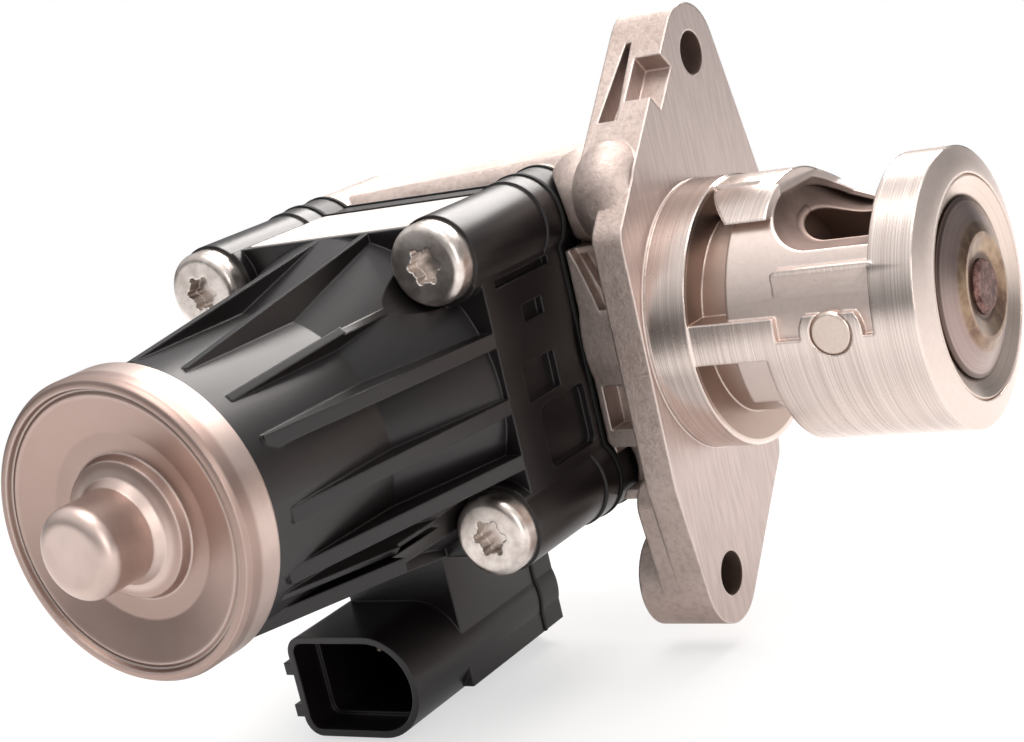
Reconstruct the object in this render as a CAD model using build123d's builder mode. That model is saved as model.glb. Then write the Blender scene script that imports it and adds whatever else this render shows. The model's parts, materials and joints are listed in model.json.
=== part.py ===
"""Exhaust gas recirculation valve with a planetary geared motor.

Frame: millimetres, +Z up. The origin is where the valve axis crosses the machined face of the
mounting flange. +X runs along the valve axis, out through the cartridge to the seat. The motor
axis is parallel to Y, with the motor standing out towards -Y.
"""
import os
from math import acos, atan2, cos, degrees, hypot, pi, radians, sin, sqrt, tan

from build123d import *

os.makedirs("parts", exist_ok=True)

# ---------------------------------------------------------------- fits and common walls
RUNNING_FIT = 0.04          # radial gap of a shaft that turns or slides in its bore
SEAT_FIT = 0.02             # radial gap of a piece that is pushed home and stays there
FREE_GAP = 0.5              # air between pieces that move past each other
CAST_WALL = 4.0
PLASTIC_WALL = 2.5

# ---------------------------------------------------------------- mounting flange
FLANGE_THICKNESS = 5.0
FLANGE_CORNER = 4.0
FLANGE_EDGE_Y = -17.5       # centres of the rounded corners towards the motor
FLANGE_EDGE_TOP = 16.0
FLANGE_EDGE_BOTTOM = -21.0
FLANGE_BULGE = 10.0         # round on the far side, wider than the bore's edge needs
FLANGE_BULGE_Y = 17.5
FLANGE_BULGE_Z = 6.0
BOLT_CIRCLE = 80.5
BOLT_TILT = 15.4            # turn of the bolt line away from vertical
BOLT_HOLE_RADIUS = 3.4
BOLT_BOSS_RADIUS = 7.8
EAR_THICKNESS = 10.0
EAR_ROOT_RADIUS = 6.0       # round at the foot of the ear's flank, and its centre
EAR_ROOT_Y = -9.0
EAR_ROOT_Z = 22.0
EAR_POCKET_DEPTH = 3.5
ARM_THICKNESS = 8.0
ARM_TOP = -25.0
LOWER_BOSS_LENGTH = 12.0

# ---------------------------------------------------------------- cartridge and valve
PILOT_RADIUS = 20.75
PILOT_LENGTH = 7.0
PILOT_STEP = 0.3            # how far the rest of the cartridge stands inside the pilot band
NECK_RADIUS = 15.5
RING_START = 35.7
RING_END = 42.2
SEAT_RADIUS = 16.3          # outside of the pressed-in seat
SEAT_FACE = 43.6
SEAT_LENGTH = 6.5
THROAT_RADIUS = 11.5
POPPET_RADIUS = 13.05
POPPET_CREST_RADIUS = 7.8
POPPET_CREST = 2.7          # how far the poppet's crown stands out of its rim
POPPET_LAND = 0.6
POPPET_DISH = 0.8           # depth of the dished middle
SEAT_RIM_X = 42.1          # where the shut poppet's rim stands
SEAT_CONE = 1.4             # depth of the sealing cone behind that rim
STEM_RADIUS = 4.0
PASSAGE_WALL = 1.7
PASSAGE_START = 17.0
WINDOW_BOTTOM = 11.0        # height of the near gas window's lower edge
WINDOW_ROUND = 7.0
WINDOW_START = 18.7
WINDOW_MARGIN = 0.5         # wall left between the windows and the ring
FAR_WINDOW_BOTTOM = 13.8
FAR_WINDOW_TURN = 31.0      # where the far window's slant meets its lower edge
STRIP_HALF_WIDTH = 3.0      # machined strips left at full radius along the cartridge
STRIP_TOP = 15.8            # height from which the cartridge's top is left at full radius
RING_LIP = 0.4              # flat left round the seat on the ring's end
RUNOUT_END = 13.4           # where the upper pocket's cutter has run out, and its height there
RUNOUT_HEIGHT = 15.0
LOWER_POCKET_END = 18.5
PAD_DEPTH = 2.35            # how far the plug pad lies below the pilot's surface
PAD_START = 20.6
PAD_TOP = 9.4
PAD_BOTTOM = -0.4
PAD_CORNER = 1.0
PLUG_COLLAR = 1.6
PLUG_RADIUS = 3.2
PLUG_X = 29.2
PLUG_Z = 0.2
PLUG_PROUD = 2.0            # how far the plug stands out of the pad
PLUG_LENGTH = 6.0
STEM_HEAD = 0.1             # end of the stem, swaged in the poppet's dish
GUIDE_RADIUS = 6.5
GUIDE_START = 7.0
GUIDE_LENGTH = 17.0
PILLAR_RADIUS = 9.0
SPRING_BORE_RADIUS = 10.0
SPRING_SEAT = 5.0           # where the return spring stands in the housing
SPRING_WIRE = 1.4
SPRING_RADIUS = 7.6
SPRING_COILS = 4.5
RETAINER_X = -13.0          # back of the spring retainer with the valve shut
RETAINER_THICKNESS = 1.5
SEAL_LENGTH = 2.0
STEM_TAIL = -18.5           # blind end of the stem in the yoke's hub
YOKE_HALF_HEIGHT = 5.0
YOKE_HALF_DEPTH = 3.0
YOKE_HUB_RADIUS = 7.0
YOKE_HUB_LENGTH = 7.2
TUBE_RADIUS = 15.0          # cast tube round the spring, between case and flange
DOME_RADIUS = 7.4
DOME_X = 11.5
DOME_Y = 7.0
DOME_Z = 22.0
SCOOP_LOW = 4.5
SCOOP_MIDDLE_X = 11.2
SCOOP_MIDDLE_Z = 6.0
BRIDGE_FACE = 14.0          # front of the cast block between case and flange
BRIDGE_TOP = 15.0
BRIDGE_BOTTOM = -25.0
BRIDGE_POCKET_START = -13.5
BRIDGE_SCOOP = 2.0          # depth of the curved scoop beside the flange
BRIDGE_POCKET_DEPTH = 4.0
BRIDGE_POCKET_HEIGHT = 7.0
BRIDGE_POCKETS = (-10.2, -20.0)
RIDGE_START = -66.0         # rounded ridge along the top of the drive bay
RIDGE_LOW = 26.6
RIDGE_HIGH = 28.6
RIDGE_END = -13.0
RIDGE_ROUND = 3.0
RIDGE_DEPTH = 9.0

# ---------------------------------------------------------------- actuator case
MOTOR_X = -41.9             # the motor axis stands at this X and at Z = 0
CASE_SIDE_WALL = 3.3        # from the gear cavity to the case's sides
CASE_TOP_WALL = 2.3
CASE_CORNER = 6.0
SCREW_PITCH_X = 42.6
SCREW_PITCH_Z = 41.2
SCREW_BOSS_RADIUS = 7.0
SCREW_RADIUS = 3.0
SCREW_HOLE_RADIUS = 3.3
SCREW_HEAD_RADIUS = 6.2
SCREW_HEAD_HEIGHT = 3.6
SCREW_LENGTH = 42.0
SCREW_HEAD_ROUND = 1.3
RECESS_RADIUS = 2.9         # six-lobed driver recess
RECESS_LOBE = 0.62
RECESS_DEPTH = 2.2
COVER_PLATE = -36.0         # front of the cover's plate
SPLIT = -14.5               # parting plane between cover and gear case
CASE_BACK = -8.0            # gear case to casting
GASKET = 0.6
GASKET_EDGE = 0.25          # how far each gasket stands out of the joint
BAY_BACK = 12.0             # outside of the casting's back wall
BOSS_FRONT = -38.0          # where the screw heads seat
CAM_ROOM = 1.96             # air round the cam in the drive bay
BARREL_RADIUS = 20.0
BARREL_END = -84.8
SPIGOT_LENGTH = 3.7         # how far the barrel runs on under the end cap
FLARE_RADIUS = 25.5
FLARE_END = -57.0
SIDE_RIB_THICKNESS = 2.2
TOP_RIB_THICKNESS = 1.2
RIB_ROOT = 3.0              # how far the ribs reach into the barrel
RIB_END = -80.0
RIB_TOE = 0.15              # height of each rib's end on the barrel
SIDE_RIBS = (7.5, -2.5, -11.0, -18.5)
TOP_RIBS = (-1.1, 7.9)
HEAD_ROOM = 0.6             # gap round each screw head for the driver's socket
LABEL_LENGTH = 31.0
LABEL_MARGIN = 1.0
BOSS_RING_DEPTH = 0.35
BOSS_RING_WIDTH = 0.5
BOSS_RINGS = (-18.5, -25.5)
SIDE_RECESS = 1.2
LABEL_SHEET = 0.15

# ---------------------------------------------------------------- motor
CAN_RADIUS = 18.3
CAN_WALL = 1.3
CAN_FRONT = -38.2
CAN_REAR = -86.5
NOSE_RADIUS = 6.5           # snout of the can, round its front bearing
NOSE_END = -34.5
FRONT_BEARING_RADIUS = 5.0
REAR_BEARING_RADIUS = 4.0
REAR_BEARING_START = -97.0
MOTOR_BEARING_WIDTH = 3.5
CAP_RADIUS = 21.4
CAP_SHEET = 1.2
CAP_FACE = -91.4            # end of the cap's rolled rim
CAP_RIM = 1.9
CAP_GROOVE_DEPTH = 0.9
CAP_DISH_INSIDE = 13.2
CAP_DISH_DEPTH = 2.4
CAP_COLLAR = 9.6
CAP_BOSS_RADIUS = 6.5
CAP_BOSS_ROUND = 2.2
CAP_BOSS_END = -100.4
MOTOR_SHAFT_RADIUS = 2.0
ARMATURE_RADIUS = 12.6
ARMATURE_START = -74.0
ARMATURE_LENGTH = 24.0
ARMATURE_SLOTS = 9
COMMUTATOR_RADIUS = 5.0
COMMUTATOR_START = -82.0
COMMUTATOR_LENGTH = 5.0
MAGNET_GAP = 0.8            # air between armature and magnets
MAGNET_START = -76.0
MAGNET_LENGTH = 30.0
MAGNET_SPAN = 130.0
BRUSH_PLATE_START = -83.5
BRUSH_PLATE_THICKNESS = 2.0
BRUSH_HEIGHT = 4.0

# ---------------------------------------------------------------- planetary gears
MODULE = 0.8
PRESSURE_ANGLE = 25.0
SUN_TEETH = 12
PLANET_TEETH = 18
RING_TEETH = SUN_TEETH + 2 * PLANET_TEETH
PLANETS = 3
BACKLASH = 0.06             # taken off each flank, measured round the pitch circle
PLANET_WIDTH = 6.0
RING_WIDTH = 6.6
RING_RIM = 3.02             # ring gear's rim behind its teeth
GEAR_FRONT = -33.0          # front of the ring gear
CARRIER_THICKNESS = 3.4
PLANET_PIN_RADIUS = 2.0

# ---------------------------------------------------------------- output shaft and spiral cam
OUTPUT_SHAFT_RADIUS = 5.0
BEARING_RADIUS = 9.5
BEARING_WIDTH = 5.0
BEARING_BOSS_WALL = 2.5
SHOULDER_RADIUS = 6.5
MAGNET_RING_INSIDE = 14.2
MAGNET_RING_OUTSIDE = 16.4
MAGNET_RING_THICKNESS = 2.0
BOARD_INSIDE = 14.5
BOARD_BACK = -17.0
BOARD_THICKNESS = 1.6
BOARD_POST_ORBIT = 20.0
BOARD_POST_RADIUS = 1.6
VALVE_LIFT = 7.0
OUTPUT_TURN = 200.0         # degrees of cam turn for the full lift
CAM_START_RADIUS = 9.0      # where the follower rides with the valve shut
CAM_OVERRUN = 4.0           # degrees of slot past each end of the turn
CAM_RIM = 1.8
CAM_THICKNESS = 4.0
CAM_STEPS = 16              # points along each flank of the cam's slot
SLOT_DEPTH = 2.8
FOLLOWER_RADIUS = 2.5

# ---------------------------------------------------------------- connector
SOCKET_X = -45.6
SOCKET_Z = -40.9
SOCKET_WIDTH = 23.3
SOCKET_HEIGHT = 16.5
SOCKET_WALL = 1.7
SOCKET_CORNER = 3.0
SOCKET_STEP = 0.6           # how much thinner the wall is at the mouth
SOCKET_STEP_END = -44.5
KEY_TAB_LENGTH = 6.0
KEY_TAB_WIDTH = 2.0
KEY_TAB_HEIGHT = 1.4
KEY_TABS = (-38.0, -45.0)   # heights of the coding tabs on the socket's square side
SOCKET_MOUTH = -50.0
SOCKET_FLOOR = -24.0
PIN_COUNT = 5
PIN_PITCH = 3.0
PIN_SIZE = 0.8
PIN_TIP = -36.0
PIN_WELL_FRONT = -19.5      # front of the chamber behind the socket's floor
PIN_WELL_WIDTH = 13.4
PIN_WELL_BOTTOM = -44.0
PIN_TOP = -20.0             # where the pins' legs end behind the sensor board
NECK_WIDTH = 20.0
NECK_SHIFT = 1.2            # how far the neck stands off the connector's middle
NECK_OVERLAP = 6.0          # how far the neck runs into the case and the socket

# ---------------------------------------------------------------- worked-out places
BOLT_Y = BOLT_CIRCLE / 2 * sin(radians(BOLT_TILT))
BOLT_Z = BOLT_CIRCLE / 2 * cos(radians(BOLT_TILT))
SUN_PITCH = MODULE * SUN_TEETH / 2
PLANET_PITCH = MODULE * PLANET_TEETH / 2
RING_PITCH = MODULE * RING_TEETH / 2
ORBIT = SUN_PITCH + PLANET_PITCH
PASSAGE_RADIUS = NECK_RADIUS - PASSAGE_WALL
CARTRIDGE_RADIUS = PILOT_RADIUS - PILOT_STEP
PAD_FACE = PILOT_RADIUS - PAD_DEPTH
CAVITY_RADIUS = RING_PITCH + 1.2 * MODULE + RING_RIM + SEAT_FIT
CASE_HALF_WIDTH = CAVITY_RADIUS + CASE_SIDE_WALL
CASE_HALF_HEIGHT = CAVITY_RADIUS + CASE_TOP_WALL
CASE_SIDE = MOTOR_X + CASE_HALF_WIDTH
BOARD_OUTSIDE = CAVITY_RADIUS - FREE_GAP
CAM_RATE = VALVE_LIFT / radians(OUTPUT_TURN)
CAM_RADIUS = CAM_START_RADIUS + VALVE_LIFT + CAM_RATE * radians(CAM_OVERRUN) + FOLLOWER_RADIUS + CAM_RIM
BAY_RADIUS = CAM_RADIUS + CAM_ROOM
FOLLOWER_X = MOTOR_X + CAM_START_RADIUS
PLANET_FRONT = GEAR_FRONT + (RING_WIDTH - PLANET_WIDTH) / 2
CARRIER_FRONT = PLANET_FRONT + PLANET_WIDTH + FREE_GAP
CARRIER_BACK = CARRIER_FRONT + CARRIER_THICKNESS
BEARING_FRONT = SPLIT - BEARING_WIDTH
CAM_BACK = -YOKE_HALF_DEPTH - FREE_GAP
GEAR_CASE_FRONT = SPLIT + GASKET
GEAR_CASE_BACK = CASE_BACK - GASKET
CAVITY_FRONT = COVER_PLATE + PLASTIC_WALL


# ---------------------------------------------------------------- planes and shared outlines
def valve_plane(x):
    """Plane across the valve axis at x: local x is world Y and local y is world Z."""
    return Plane(origin=(x, 0, 0), x_dir=(0, 1, 0), z_dir=(1, 0, 0))


def motor_plane(y):
    """Plane across the motor axis at y, facing -Y: local x is world X and local y is world Z."""
    return Plane(origin=(MOTOR_X, y, 0), x_dir=(1, 0, 0), z_dir=(0, -1, 0))


def radial_plane(angle, side_offset):
    """Plane along the motor axis at an angle round it: local x points outwards, local y is +Y."""
    outward = (cos(radians(angle)), 0, sin(radians(angle)))
    sideways = (-sin(radians(angle)), 0, cos(radians(angle)))
    start = (MOTOR_X + side_offset * sideways[0], 0, side_offset * sideways[2])
    return Plane(origin=start, x_dir=outward, z_dir=sideways)


MOTOR_AXIS = Axis((MOTOR_X, 0, 0), (0, -1, 0))
TURNED_PROFILE = Plane(origin=(MOTOR_X, 0, 0), x_dir=(1, 0, 0), z_dir=(0, 0, 1))


def case_outline(grow=0.0):
    """Rounded case with a round boss at each of the four screws, as a sketch on a motor plane."""
    RectangleRounded(2 * (CASE_HALF_WIDTH + grow), 2 * (CASE_HALF_HEIGHT + grow), CASE_CORNER)
    with GridLocations(SCREW_PITCH_X, SCREW_PITCH_Z, 2, 2):
        Circle(SCREW_BOSS_RADIUS + grow)


def socket_outline(grow=0.0):
    """D of the connector: rounded corners to the left, half round to the right, on a motor plane."""
    height = SOCKET_HEIGHT + 2 * grow
    corner = SOCKET_CORNER + grow
    round_centre = SOCKET_X - MOTOR_X + (SOCKET_WIDTH - SOCKET_HEIGHT) / 2
    flat_length = SOCKET_WIDTH - SOCKET_HEIGHT / 2 + grow
    with Locations((round_centre, SOCKET_Z)):
        Circle(height / 2)
    with Locations((round_centre + (corner - flat_length) / 2, SOCKET_Z)):
        RectangleRounded(flat_length + corner, height, corner)


def neck_outline(grow=0.0):
    """Web that joins the connector to the underside of the case, on a motor plane."""
    with Locations((SOCKET_X + NECK_SHIFT - MOTOR_X, (SOCKET_Z - CASE_HALF_HEIGHT) / 2)):
        Rectangle(NECK_WIDTH + 2 * grow, -SOCKET_Z - CASE_HALF_HEIGHT + 2 * NECK_OVERLAP)


def pin_well(mode=Mode.ADD):
    """Chamber that leads the pins from the socket up to the gear cavity, on a motor plane."""
    with Locations((SOCKET_X - MOTOR_X, (PIN_WELL_BOTTOM + PIN_TOP) / 2)):
        Rectangle(PIN_WELL_WIDTH, PIN_TOP - PIN_WELL_BOTTOM, mode=mode)


def screw_holes(radius):
    with GridLocations(SCREW_PITCH_X, SCREW_PITCH_Z, 2, 2):
        Circle(radius, mode=Mode.SUBTRACT)


def bolt_points():
    return [(BOLT_Y, BOLT_Z), (-BOLT_Y, -BOLT_Z)]


def ear_flank():
    """Plane of the upper ear's flank, tangent to its foot's round and to its bolt boss.

    The origin is where the flank meets the boss, local x is world X and local y runs up.
    """
    run = hypot(BOLT_Y - EAR_ROOT_Y, BOLT_Z - EAR_ROOT_Z)
    slope = atan2(BOLT_Z - EAR_ROOT_Z, BOLT_Y - EAR_ROOT_Y)
    facing = slope + acos((EAR_ROOT_RADIUS - BOLT_BOSS_RADIUS) / run)
    outward = (0, cos(facing), sin(facing))
    start = (0, BOLT_Y + BOLT_BOSS_RADIUS * outward[1], BOLT_Z + BOLT_BOSS_RADIUS * outward[2])
    return Plane(origin=start, x_dir=(1, 0, 0), z_dir=outward)


# ---------------------------------------------------------------- gear teeth
def involute_angle(pressure):
    return tan(pressure) - pressure


def gear_outline(teeth, tip_radius, root_radius, flank_shift, turn):
    """Closed outline of an involute gear, as points round the origin.

    A flank point at radius r stands half_tooth + inv(pitch angle) - inv(angle at r) off the
    tooth's centre line, with cos(angle at r) = base radius / r. flank_shift moves each flank
    round the pitch circle: below zero for backlash on a gear, above zero for a ring's spaces.
    """
    pitch_radius = MODULE * teeth / 2
    base_radius = pitch_radius * cos(radians(PRESSURE_ANGLE))
    half_tooth = pi / (2 * teeth) + flank_shift / pitch_radius
    pitch_involute = involute_angle(radians(PRESSURE_ANGLE))
    lowest = max(root_radius, base_radius)
    steps = 4
    flank = []
    for step in range(steps + 1):
        radius = lowest + (tip_radius - lowest) * step / steps
        pressure = acos(min(1.0, base_radius / radius))
        flank.append((radius, half_tooth + pitch_involute - involute_angle(pressure)))
    if root_radius < base_radius - 1e-6:
        flank.insert(0, (root_radius, flank[0][1]))
    points = []
    for tooth in range(teeth):
        centre = radians(turn) + 2 * pi * tooth / teeth
        for radius, offset in flank:
            points.append((radius * cos(centre - offset), radius * sin(centre - offset)))
        for radius, offset in reversed(flank):
            points.append((radius * cos(centre + offset), radius * sin(centre + offset)))
    return points


def planet_place(index):
    """Orbit angle of a planet: the even spacing, moved to the nearest place that meshes."""
    step = 360 / (SUN_TEETH + RING_TEETH)
    return round(index * (SUN_TEETH + RING_TEETH) / PLANETS) * step


def polar_point(radius, angle):
    return (radius * cos(radians(angle)), radius * sin(radians(angle)))


def planet_turn(place):
    """Turn of a planet at an orbit angle that sets its space on the sun's tooth."""
    return place + 180 + (place * SUN_TEETH + 180) / PLANET_TEETH


# ================================================================ castings and valve end
def cut_along_neck(top, bottom, start, end):
    """Pocket on both flanks of the cartridge down to the neck, between two heights."""
    with BuildSketch(valve_plane(start)) as pocket:
        with Locations((0, (top + bottom) / 2)):
            Rectangle(2 * PILOT_RADIUS + 2, top - bottom)
        Circle(NECK_RADIUS, mode=Mode.SUBTRACT)
    extrude(pocket.sketch, amount=end - start, mode=Mode.SUBTRACT)


with BuildPart() as valve_housing:
    # actuator bay behind the gear case
    with BuildSketch(motor_plane(BAY_BACK)):
        case_outline()
    extrude(amount=BAY_BACK - CASE_BACK)
    fillet(valve_housing.faces().sort_by(Axis.Y)[-1].edges(), radius=CAST_WALL)
    # flange plate
    with BuildSketch(valve_plane(-FLANGE_THICKNESS)):
        with Locations(*bolt_points()):
            Circle(BOLT_BOSS_RADIUS)
        with Locations((FLANGE_EDGE_Y, FLANGE_EDGE_TOP), (FLANGE_EDGE_Y, FLANGE_EDGE_BOTTOM)):
            Circle(FLANGE_CORNER)
        with Locations((FLANGE_BULGE_Y, FLANGE_BULGE_Z)):
            Circle(FLANGE_BULGE)
        make_hull()
    extrude(amount=FLANGE_THICKNESS)
    # thick upper ear, then the arm of the lower one with its longer boss
    with BuildSketch(valve_plane(-EAR_THICKNESS)):
        with Locations(bolt_points()[0]):
            Circle(BOLT_BOSS_RADIUS)
        with Locations((EAR_ROOT_Y, EAR_ROOT_Z), (-EAR_ROOT_Y, EAR_ROOT_Z)):
            Circle(EAR_ROOT_RADIUS)
        make_hull()
    extrude(amount=EAR_THICKNESS)
    with BuildSketch(valve_plane(-ARM_THICKNESS)):
        with Locations(bolt_points()[1]):
            Circle(BOLT_BOSS_RADIUS)
        with Locations((FLANGE_EDGE_Y + 1.0, ARM_TOP), (-EAR_ROOT_Y, ARM_TOP)):
            Circle(FLANGE_CORNER)
        make_hull()
    extrude(amount=ARM_THICKNESS)
    with BuildSketch(valve_plane(-LOWER_BOSS_LENGTH)):
        with Locations(bolt_points()[1]):
            Circle(BOLT_BOSS_RADIUS)
    extrude(amount=LOWER_BOSS_LENGTH)
    # cartridge
    with BuildSketch(valve_plane(0)):
        Circle(PILOT_RADIUS)
    extrude(amount=PILOT_LENGTH)
    with BuildSketch(valve_plane(0)):
        Circle(CARTRIDGE_RADIUS)
    extrude(amount=RING_END)
    with BuildSketch(valve_plane(RING_END)):
        Circle(CARTRIDGE_RADIUS)
    extrude(amount=SEAT_FACE - RING_END, taper=degrees(atan2(CARTRIDGE_RADIUS - SEAT_RADIUS - RING_LIP,
                                                             SEAT_FACE - RING_END)))
    cut_along_neck(STRIP_TOP, STRIP_HALF_WIDTH, PILOT_LENGTH, RING_START)
    cut_along_neck(-STRIP_HALF_WIDTH, -PILOT_RADIUS - 1, PILOT_LENGTH, LOWER_POCKET_END)
    with BuildSketch(Plane.XZ.offset(STEM_RADIUS)):
        with BuildLine():
            Polyline(
                (PILOT_LENGTH, RUNOUT_HEIGHT),
                (RUNOUT_END, RUNOUT_HEIGHT),
                (PILOT_LENGTH, CARTRIDGE_RADIUS),
                close=True,
            )
        make_face()
    extrude(amount=PILOT_RADIUS - STEM_RADIUS, mode=Mode.SUBTRACT)
    # pad for the plug, standing out of the neck
    with BuildSketch(Plane.XZ.offset(PAD_FACE)):
        with Locations(((PAD_START + RING_START + 1) / 2, (PAD_TOP + PAD_BOTTOM) / 2)):
            RectangleRounded(RING_START + 1 - PAD_START, PAD_TOP - PAD_BOTTOM, PAD_CORNER)
    extrude(amount=PASSAGE_WALL - PAD_FACE + PASSAGE_RADIUS / 2)
    # cast tube between the bay and the flange, and the block beside it with its pockets
    with BuildSketch(valve_plane(CASE_SIDE)):
        Circle(TUBE_RADIUS)
        with Locations((-BRIDGE_FACE / 2, (BRIDGE_TOP + BRIDGE_BOTTOM) / 2)):
            Rectangle(BRIDGE_FACE, BRIDGE_TOP - BRIDGE_BOTTOM)
    extrude(amount=-CASE_SIDE - FLANGE_THICKNESS)
    with BuildSketch(Plane.XZ.offset(BRIDGE_FACE - BRIDGE_SCOOP)):
        with BuildLine():
            Polyline(
                (-BRIDGE_FACE, BRIDGE_TOP),
                (-FLANGE_THICKNESS, BRIDGE_TOP),
                (-FLANGE_THICKNESS, -SCOOP_LOW),
                (-FLANGE_THICKNESS - SCOOP_LOW, -SCOOP_LOW),
            )
            ThreePointArc(
                (-FLANGE_THICKNESS - SCOOP_LOW, -SCOOP_LOW),
                (-SCOOP_MIDDLE_X, SCOOP_MIDDLE_Z),
                (-BRIDGE_FACE, BRIDGE_TOP),
            )
        make_face()
    extrude(amount=BRIDGE_SCOOP, mode=Mode.SUBTRACT)
    with BuildSketch(Plane.XZ.offset(BRIDGE_FACE - BRIDGE_POCKET_DEPTH)):
        with BuildLine():
            Polyline(
                (BRIDGE_POCKET_START, BRIDGE_TOP - 1),
                (-FLANGE_THICKNESS, BRIDGE_TOP - 1),
                (-FLANGE_THICKNESS, SCOOP_MIDDLE_Z),
                (-SCOOP_MIDDLE_X + 1, SCOOP_MIDDLE_Z),
                close=True,
            )
        make_face()
        for pocket_height in BRIDGE_POCKETS:
            with Locations(((BRIDGE_POCKET_START - FLANGE_THICKNESS) / 2, pocket_height)):
                Rectangle(-FLANGE_THICKNESS - BRIDGE_POCKET_START, BRIDGE_POCKET_HEIGHT)
    extrude(amount=BRIDGE_POCKET_DEPTH, mode=Mode.SUBTRACT)
    # domed boss above the block, and the rounded ridge along the top of the drive bay
    with Locations((-DOME_X, -DOME_Y, DOME_Z)):
        Sphere(DOME_RADIUS)
    ridge_steps = [
        (RIDGE_START, CASE_HALF_HEIGHT - 1),
        (RIDGE_START + RIDGE_ROUND, RIDGE_LOW),
        (RIDGE_END, RIDGE_HIGH),
    ]
    ridge_sections = []
    for ridge_place, ridge_height in ridge_steps:
        with BuildSketch(valve_plane(ridge_place)) as ridge:
            with Locations((0, ridge_height - RIDGE_DEPTH / 2)):
                RectangleRounded(2 * (-CASE_BACK - GASKET), RIDGE_DEPTH, RIDGE_ROUND)
        ridge_sections.append(ridge.sketch)
    loft(ridge_sections, ruled=True)
    with BuildSketch(motor_plane(CASE_BACK)):
        case_outline(GASKET_EDGE + FREE_GAP)
    extrude(amount=CASE_BACK - COVER_PLATE, mode=Mode.SUBTRACT)
    # mounting holes and the two pockets in the ear's flank
    with BuildSketch(valve_plane(-LOWER_BOSS_LENGTH)):
        with Locations(*bolt_points()):
            Circle(BOLT_HOLE_RADIUS)
    extrude(amount=LOWER_BOSS_LENGTH, mode=Mode.SUBTRACT)
    with BuildSketch(ear_flank()):
        with BuildLine():
            Polyline(
                (-0.85 * EAR_THICKNESS, -17.0),
                (-0.52 * EAR_THICKNESS, -17.0),
                (-0.58 * EAR_THICKNESS, -2.5),
                (-0.68 * EAR_THICKNESS, -2.5),
                close=True,
            )
        make_face()
        with Locations((-0.2 * EAR_THICKNESS, -9.7)):
            Rectangle(0.5 * EAR_THICKNESS, 8.0)
    extrude(amount=-EAR_POCKET_DEPTH, mode=Mode.SUBTRACT)
    # drive bay, spring bore, guide bore and gas passage
    with BuildSketch(motor_plane(BAY_BACK - CAST_WALL)):
        Circle(BAY_RADIUS)
    extrude(amount=BAY_BACK - CAST_WALL - CASE_BACK, mode=Mode.SUBTRACT)
    with BuildSketch(valve_plane(MOTOR_X + 15.0)):
        Circle(SPRING_BORE_RADIUS)
    extrude(amount=SPRING_SEAT - MOTOR_X - 15.0, mode=Mode.SUBTRACT)
    with BuildSketch(Plane.XY):
        with BuildLine():
            Polyline(
                (PASSAGE_START, PILLAR_RADIUS),
                (GUIDE_START + GUIDE_LENGTH, GUIDE_RADIUS + 1.5),
                (GUIDE_START + GUIDE_LENGTH, 0),
                (SEAT_FACE - SEAT_LENGTH, 0),
                (SEAT_FACE - SEAT_LENGTH, PASSAGE_RADIUS),
                (PASSAGE_START, PASSAGE_RADIUS),
                close=True,
            )
        make_face()
    revolve(axis=Axis.X, mode=Mode.SUBTRACT)
    with BuildSketch(valve_plane(SEAT_FACE - SEAT_LENGTH)):
        Circle(SEAT_RADIUS)
    extrude(amount=SEAT_LENGTH, mode=Mode.SUBTRACT)
    with BuildSketch(valve_plane(SPRING_SEAT)):
        Circle(GUIDE_RADIUS + SEAT_FIT)
    extrude(amount=GUIDE_START + GUIDE_LENGTH - SPRING_SEAT, mode=Mode.SUBTRACT)
    # gas windows: the near one is a rounded slot, the far one falls away in a slant
    with BuildSketch(Plane.XZ):
        with BuildLine():
            Polyline(
                (WINDOW_START, PILOT_RADIUS + 1),
                (RING_START - WINDOW_MARGIN, PILOT_RADIUS + 1),
                (RING_START - WINDOW_MARGIN, WINDOW_BOTTOM),
                (WINDOW_START + WINDOW_ROUND, WINDOW_BOTTOM),
            )
            RadiusArc(
                (WINDOW_START + WINDOW_ROUND, WINDOW_BOTTOM),
                (WINDOW_START, WINDOW_BOTTOM + WINDOW_ROUND),
                radius=WINDOW_ROUND,
            )
            Line((WINDOW_START, WINDOW_BOTTOM + WINDOW_ROUND), (WINDOW_START, PILOT_RADIUS + 1))
        make_face()
    extrude(amount=PILOT_RADIUS, mode=Mode.SUBTRACT)
    with BuildSketch(Plane.XZ.offset(-PILOT_RADIUS)):
        with BuildLine():
            Polyline(
                (WINDOW_START - 1, PILOT_RADIUS + 1),
                (RING_START - WINDOW_MARGIN, PILOT_RADIUS + 1),
                (RING_START - WINDOW_MARGIN, FAR_WINDOW_BOTTOM),
                (FAR_WINDOW_TURN, FAR_WINDOW_BOTTOM),
                close=True,
            )
        make_face()
    extrude(amount=PILOT_RADIUS, mode=Mode.SUBTRACT)
    # flat face of the pad with the plug's collar
    with BuildSketch(Plane.XZ.offset(PAD_FACE)):
        with Locations(((PAD_START + RING_START) / 2, (PAD_TOP + PAD_BOTTOM) / 2)):
            Rectangle(RING_START - PAD_START, PAD_TOP - PAD_BOTTOM)
        with Locations((PLUG_X, PLUG_Z)):
            Circle(PLUG_RADIUS + PLUG_COLLAR, mode=Mode.SUBTRACT)
    extrude(amount=PILOT_RADIUS - PAD_FACE, mode=Mode.SUBTRACT)
    with BuildSketch(Plane.XZ.offset(PASSAGE_RADIUS - 1)):
        with Locations((PLUG_X, PLUG_Z)):
            Circle(PLUG_RADIUS)
    extrude(amount=PILOT_RADIUS - PASSAGE_RADIUS + 1, mode=Mode.SUBTRACT)
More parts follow.
